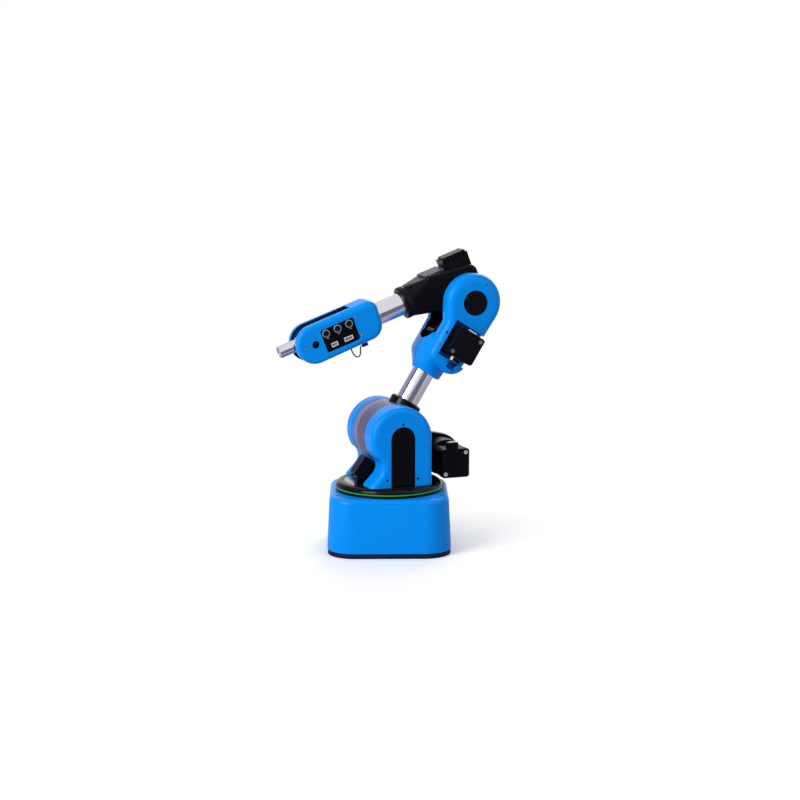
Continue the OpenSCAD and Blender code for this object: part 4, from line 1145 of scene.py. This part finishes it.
@dataclass
class Wrist(Dresser):
    """The forearm tube and the blue wrist housing with its panel, buttons and sockets."""

    AT: ClassVar[Matrix] = WRIST
    BODY: ClassVar[str] = "forearm"
    radius: float = 27.5
    half_width: float = 24.0
    slot: float = 12.0
    slot_x: float = -67.0
    rear_x: float = -104.0
    button_z: float = 9.1
    buttons: tuple[tuple[str, float], ...] = (("front", -19.0), ("middle", -37.0), ("rear", -55.0))
    screws: tuple[Pair, ...] = ((-67.0, 14.5), (-67.0, -13.1), (15.0, -0.3))
    route: tuple[Pair, ...] = (
        (-51.5, -27.6), (-51.3, -30), (-51.2, -33), (-51.4, -36.5), (-52, -40), (-53.2, -43.2),
        (-55.2, -45.6), (-57.6, -46.4), (-60, -45.4), (-61.8, -43), (-62.9, -40), (-63.8, -37.4),
        (-64.8, -35.5), (-66, -34.2), (-67.2, -33.6), (-68.6, -33.4))

    def cord(self) -> None:
        """Hangs the short lead under the wrist, with its plug."""
        frame = in_metres(WRIST)
        points = [frame @ Vector((x * MM, 0, z * MM)) for x, z in self.route]
        curve = bpy.data.curves.new("wrist_lead", "CURVE")
        curve.dimensions, curve.bevel_depth, curve.bevel_resolution = "3D", 0.001, 4
        curve.use_fill_caps = True
        spline = curve.splines.new("POLY")
        spline.points.add(len(points) - 1)
        for target, p in zip(spline.points, points):
            target.co = (*p, 1)
        lead = stand("wrist_lead", curve)
        curve.materials.append(self.finishes.lead)
        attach(lead, "forearm")
        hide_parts("wrist_cord")
        corners = [(-68.6, -36), (-68.6, -27.6), (-76.6, -27.6), (-76.6, -36)]
        plug = pillow(evened(corners, 3), -3, 3, 0.8, True, 4)
        piece = self.place("lead_plug", plug, self.finishes.lead, "black_lead", "cord_plug")

    def half(self, side: int) -> Workpiece:
        """One cheek of the wrist housing."""
        r, back, wide = self.radius, self.rear_x, 2 * self.half_width
        form = hull(disc_points((0, 0, 0), Axis.Y, r, wide, 5, 96),
                    disc_points((back + 14, 0, r - 14), Axis.Y, 14, wide, 9),
                    disc_points((back + 22, 0, 21 - r), Axis.Y, 21, wide, 9))
        near, far = sorted((side * 0.1, -side * 50))
        piece = Workpiece(form).cut(box((-150, near, -60), (60, far, 60)))
        gap = self.slot
        piece.cut(box((self.slot_x, -gap, -12), (60, gap, 60)), box((-16, -gap, -60), (60, gap, 60)))
        piece.cut(bar(Axis.X, TUBE_SEAT_R, -110, -90), bar(Axis.X, 14.5, -95, -66))
        return piece.cut(bar(Axis.Y, 5.5, *sorted((side * 11, side * 30)), 48))

    def inside(self, at: Vector, normal: Vector) -> bool:
        """Tells whether a face is a wall of the slot, which gets painted shade."""
        walls = abs(abs(at.y) - self.slot) < 0.1 and abs(normal.y) > 0.9
        square = abs(normal.x) > 0.9 or abs(normal.z) > 0.9
        return walls or (square and abs(at.y) < self.slot and at.x > self.slot_x - 0.5 and abs(at.z) < 20)

    def socket(self, x: float, z: float, half: float) -> None:
        """Fits a gloss black box as painted shade, with a row of pins, into one white socket.

        Args:
            x: Its middle along the wrist.
            z: Its middle up.
            half: Half its width.
        """
        # A gloss black box in the socket's opening: painted shade.
        dark = box((x - half + 1.15, 23.0, z - 1.85), (x + half - 1.15, 23.5, z + 1.85))
        self.place(f"socket_painted_shade_{int(-x)}", dark, self.finishes.gloss, "gloss_black")
        places = x + np.arange(-half + 2.2, half - 2.1, 1.5)
        pins = [box((at - 0.35, 23.4, z - 1.3), (at + 0.35, 24.3, z + 1.4)) for at in places]
        row = reduce(Shape.with_shape, pins)
        self.place(f"socket_pins_{int(-x)}", row, self.finishes.pale, "bright_screw")

    def dress(self) -> None:
        """Makes the housing, the panel and its fittings."""
        paint = self.finishes
        left = self.half(1)
        left.cut(prism(rounded_box_outline((-63.5, -17.5), (-12, 16), 3), 22.6, 30))
        for x, z in self.screws:
            left.cut(bar(Axis.Y, 2, 22.5, 26, 24).moved(x, 0, z))
        for side, piece in (("left", left), ("right", self.half(-1))):
            piece.soften(0.3)
            cheek = self.place(f"wrist_{side}", piece, paint.blue, "blue_shell", f"wrist_housing_{side}")
            # The slot's walls get the dark blue: painted shade in the slot.
            tone(cheek, paint.inner, self.inside, WRIST)
        tube = band(Axis.X, TUBE_BORE, TUBE_R, -183, -77, TUBE_FACETS)
        self.place("fore_tube_piece", tube, paint.fore, "polished_tube", "forearm_tube")
        self.refine("button_panel", paint.gloss, "gloss_black", 0.15)
        self.refine("tool_ports", paint.white, "white_plug", 0.12)
        for x, z, wide in ((-25.5, -9.7, 10.0), (-47.4, -10.0, 13.5)):
            self.socket(x, z, wide / 2)
        profile = [(4.4, 22.6), (5.5, 22.6), (5.5, 24.2), (5.2, 24.4), (4.6, 24.4), (4.4, 24.2), (4.4, 22.6)]
        ring = lathe(profile, Axis.Y, 64)
        rings = reduce(Shape.with_shape, [ring.moved(x, 0, self.button_z) for _, x in self.buttons])
        self.place("button_rings_piece", rings, paint.ring, "bright_screw", "button_rings")
        for y in (-11.6, 11.6):
            near, far = sorted((y, y * 1.03))
            strip = Workpiece(box((-64, near, 12), (-6, far, 21))).soften(0.1)
            self.place(f"slot_strip_{'left' if y > 0 else 'right'}", strip, paint.steel, "plain_steel")
        self.refine("wrist_servo", paint.black, "black_shell", 0.5)
        self.paint(paint.pale, "wrist_screws")
        for x, z in self.screws:
            # A black ring round each screw head: painted shade in its recess.
            shade_ring = band(Axis.Y, 1.55, 2.15, 23.5, 24.04, 32).moved(x, 0, z)
            height = "high" if z > 0 else "low"
            self.place(f"screw_shade_ring_{int(abs(x))}_{height}", shade_ring, paint.black, "black_shell")
        profile = [(3.9, 19.6), (4, 20), (4, 24.4), (3.6, 24.85), (2.9, 24.9), (2.2, 24.6), (0.6, 24.4)]
        for name, x in self.buttons:
            button = lathe(profile, Axis.Y, 48).moved(x, 0, self.button_z)
            self.place(
                f"button_{name}_piece", button, paint.cap, "button_cap", f"button_{name}",
                body=f"{name}_button")
            outline = arc(x + 1.6, 1.9, 0.3, -90, 90, 6) + arc(x - 1.6, 1.9, 0.3, 90, 270, 6)
            mark = pillow(evened(outline, 2), 23.8, 24.0, 0.05)
            self.place(f"button_{name}_mark", mark, paint.mark, "white_plug")


@dataclass
class Hand(Dresser):
    """The pale hand between the wrist cheeks and the polished tool shaft."""

    AT: ClassVar[Matrix] = WRIST
    BODY: ClassVar[str] = "hand"
    shaft_r: float = 8.75
    rise: float = 5.5

    def dress(self) -> None:
        """Makes the shaft and dresses the hand."""
        paint = self.finishes
        r = self.shaft_r
        profile = [(4.65, 6), (4.65, 19.9), (r - 0.3, 19.9), (r, 20.2)]
        profile += [(r, 48.2), (r - 0.8, 49), (r - 2, 49), (r - 2, 48)]
        shaft = lathe(profile, Axis.X).moved(0, 0, self.rise)
        self.place("tool_shaft_piece", shaft, paint.fore, "polished_tube", "tool_shaft", body="tool")
        self.refine("hand_block", paint.hand, "white_plug", 0.5)
        for name, y0, y1 in (("left", 20.9, 21.1), ("right", -21.1, -20.9)):
            self.place(f"pin_cap_{name}", bar(Axis.Y, 5.3, y0, y1, 48), paint.gloss, "gloss_black")


def main() -> None:
    """Builds the studio, the lead and every sub-assembly."""
    logging.basicConfig(level=logging.INFO, format="%(message)s")
    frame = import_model()
    Studio().set_up()
    finishes = Finishes()
    wrist = Wrist(frame, finishes)
    wrist.cord()
    for part in (Base(frame, finishes), Shoulder(frame, finishes), UpperArm(frame, finishes),
                 Link(frame, finishes), wrist, Hand(frame, finishes)):
        part.dress()
        log.info("%s done", type(part).__name__)


if __name__ == "__main__":
    main()
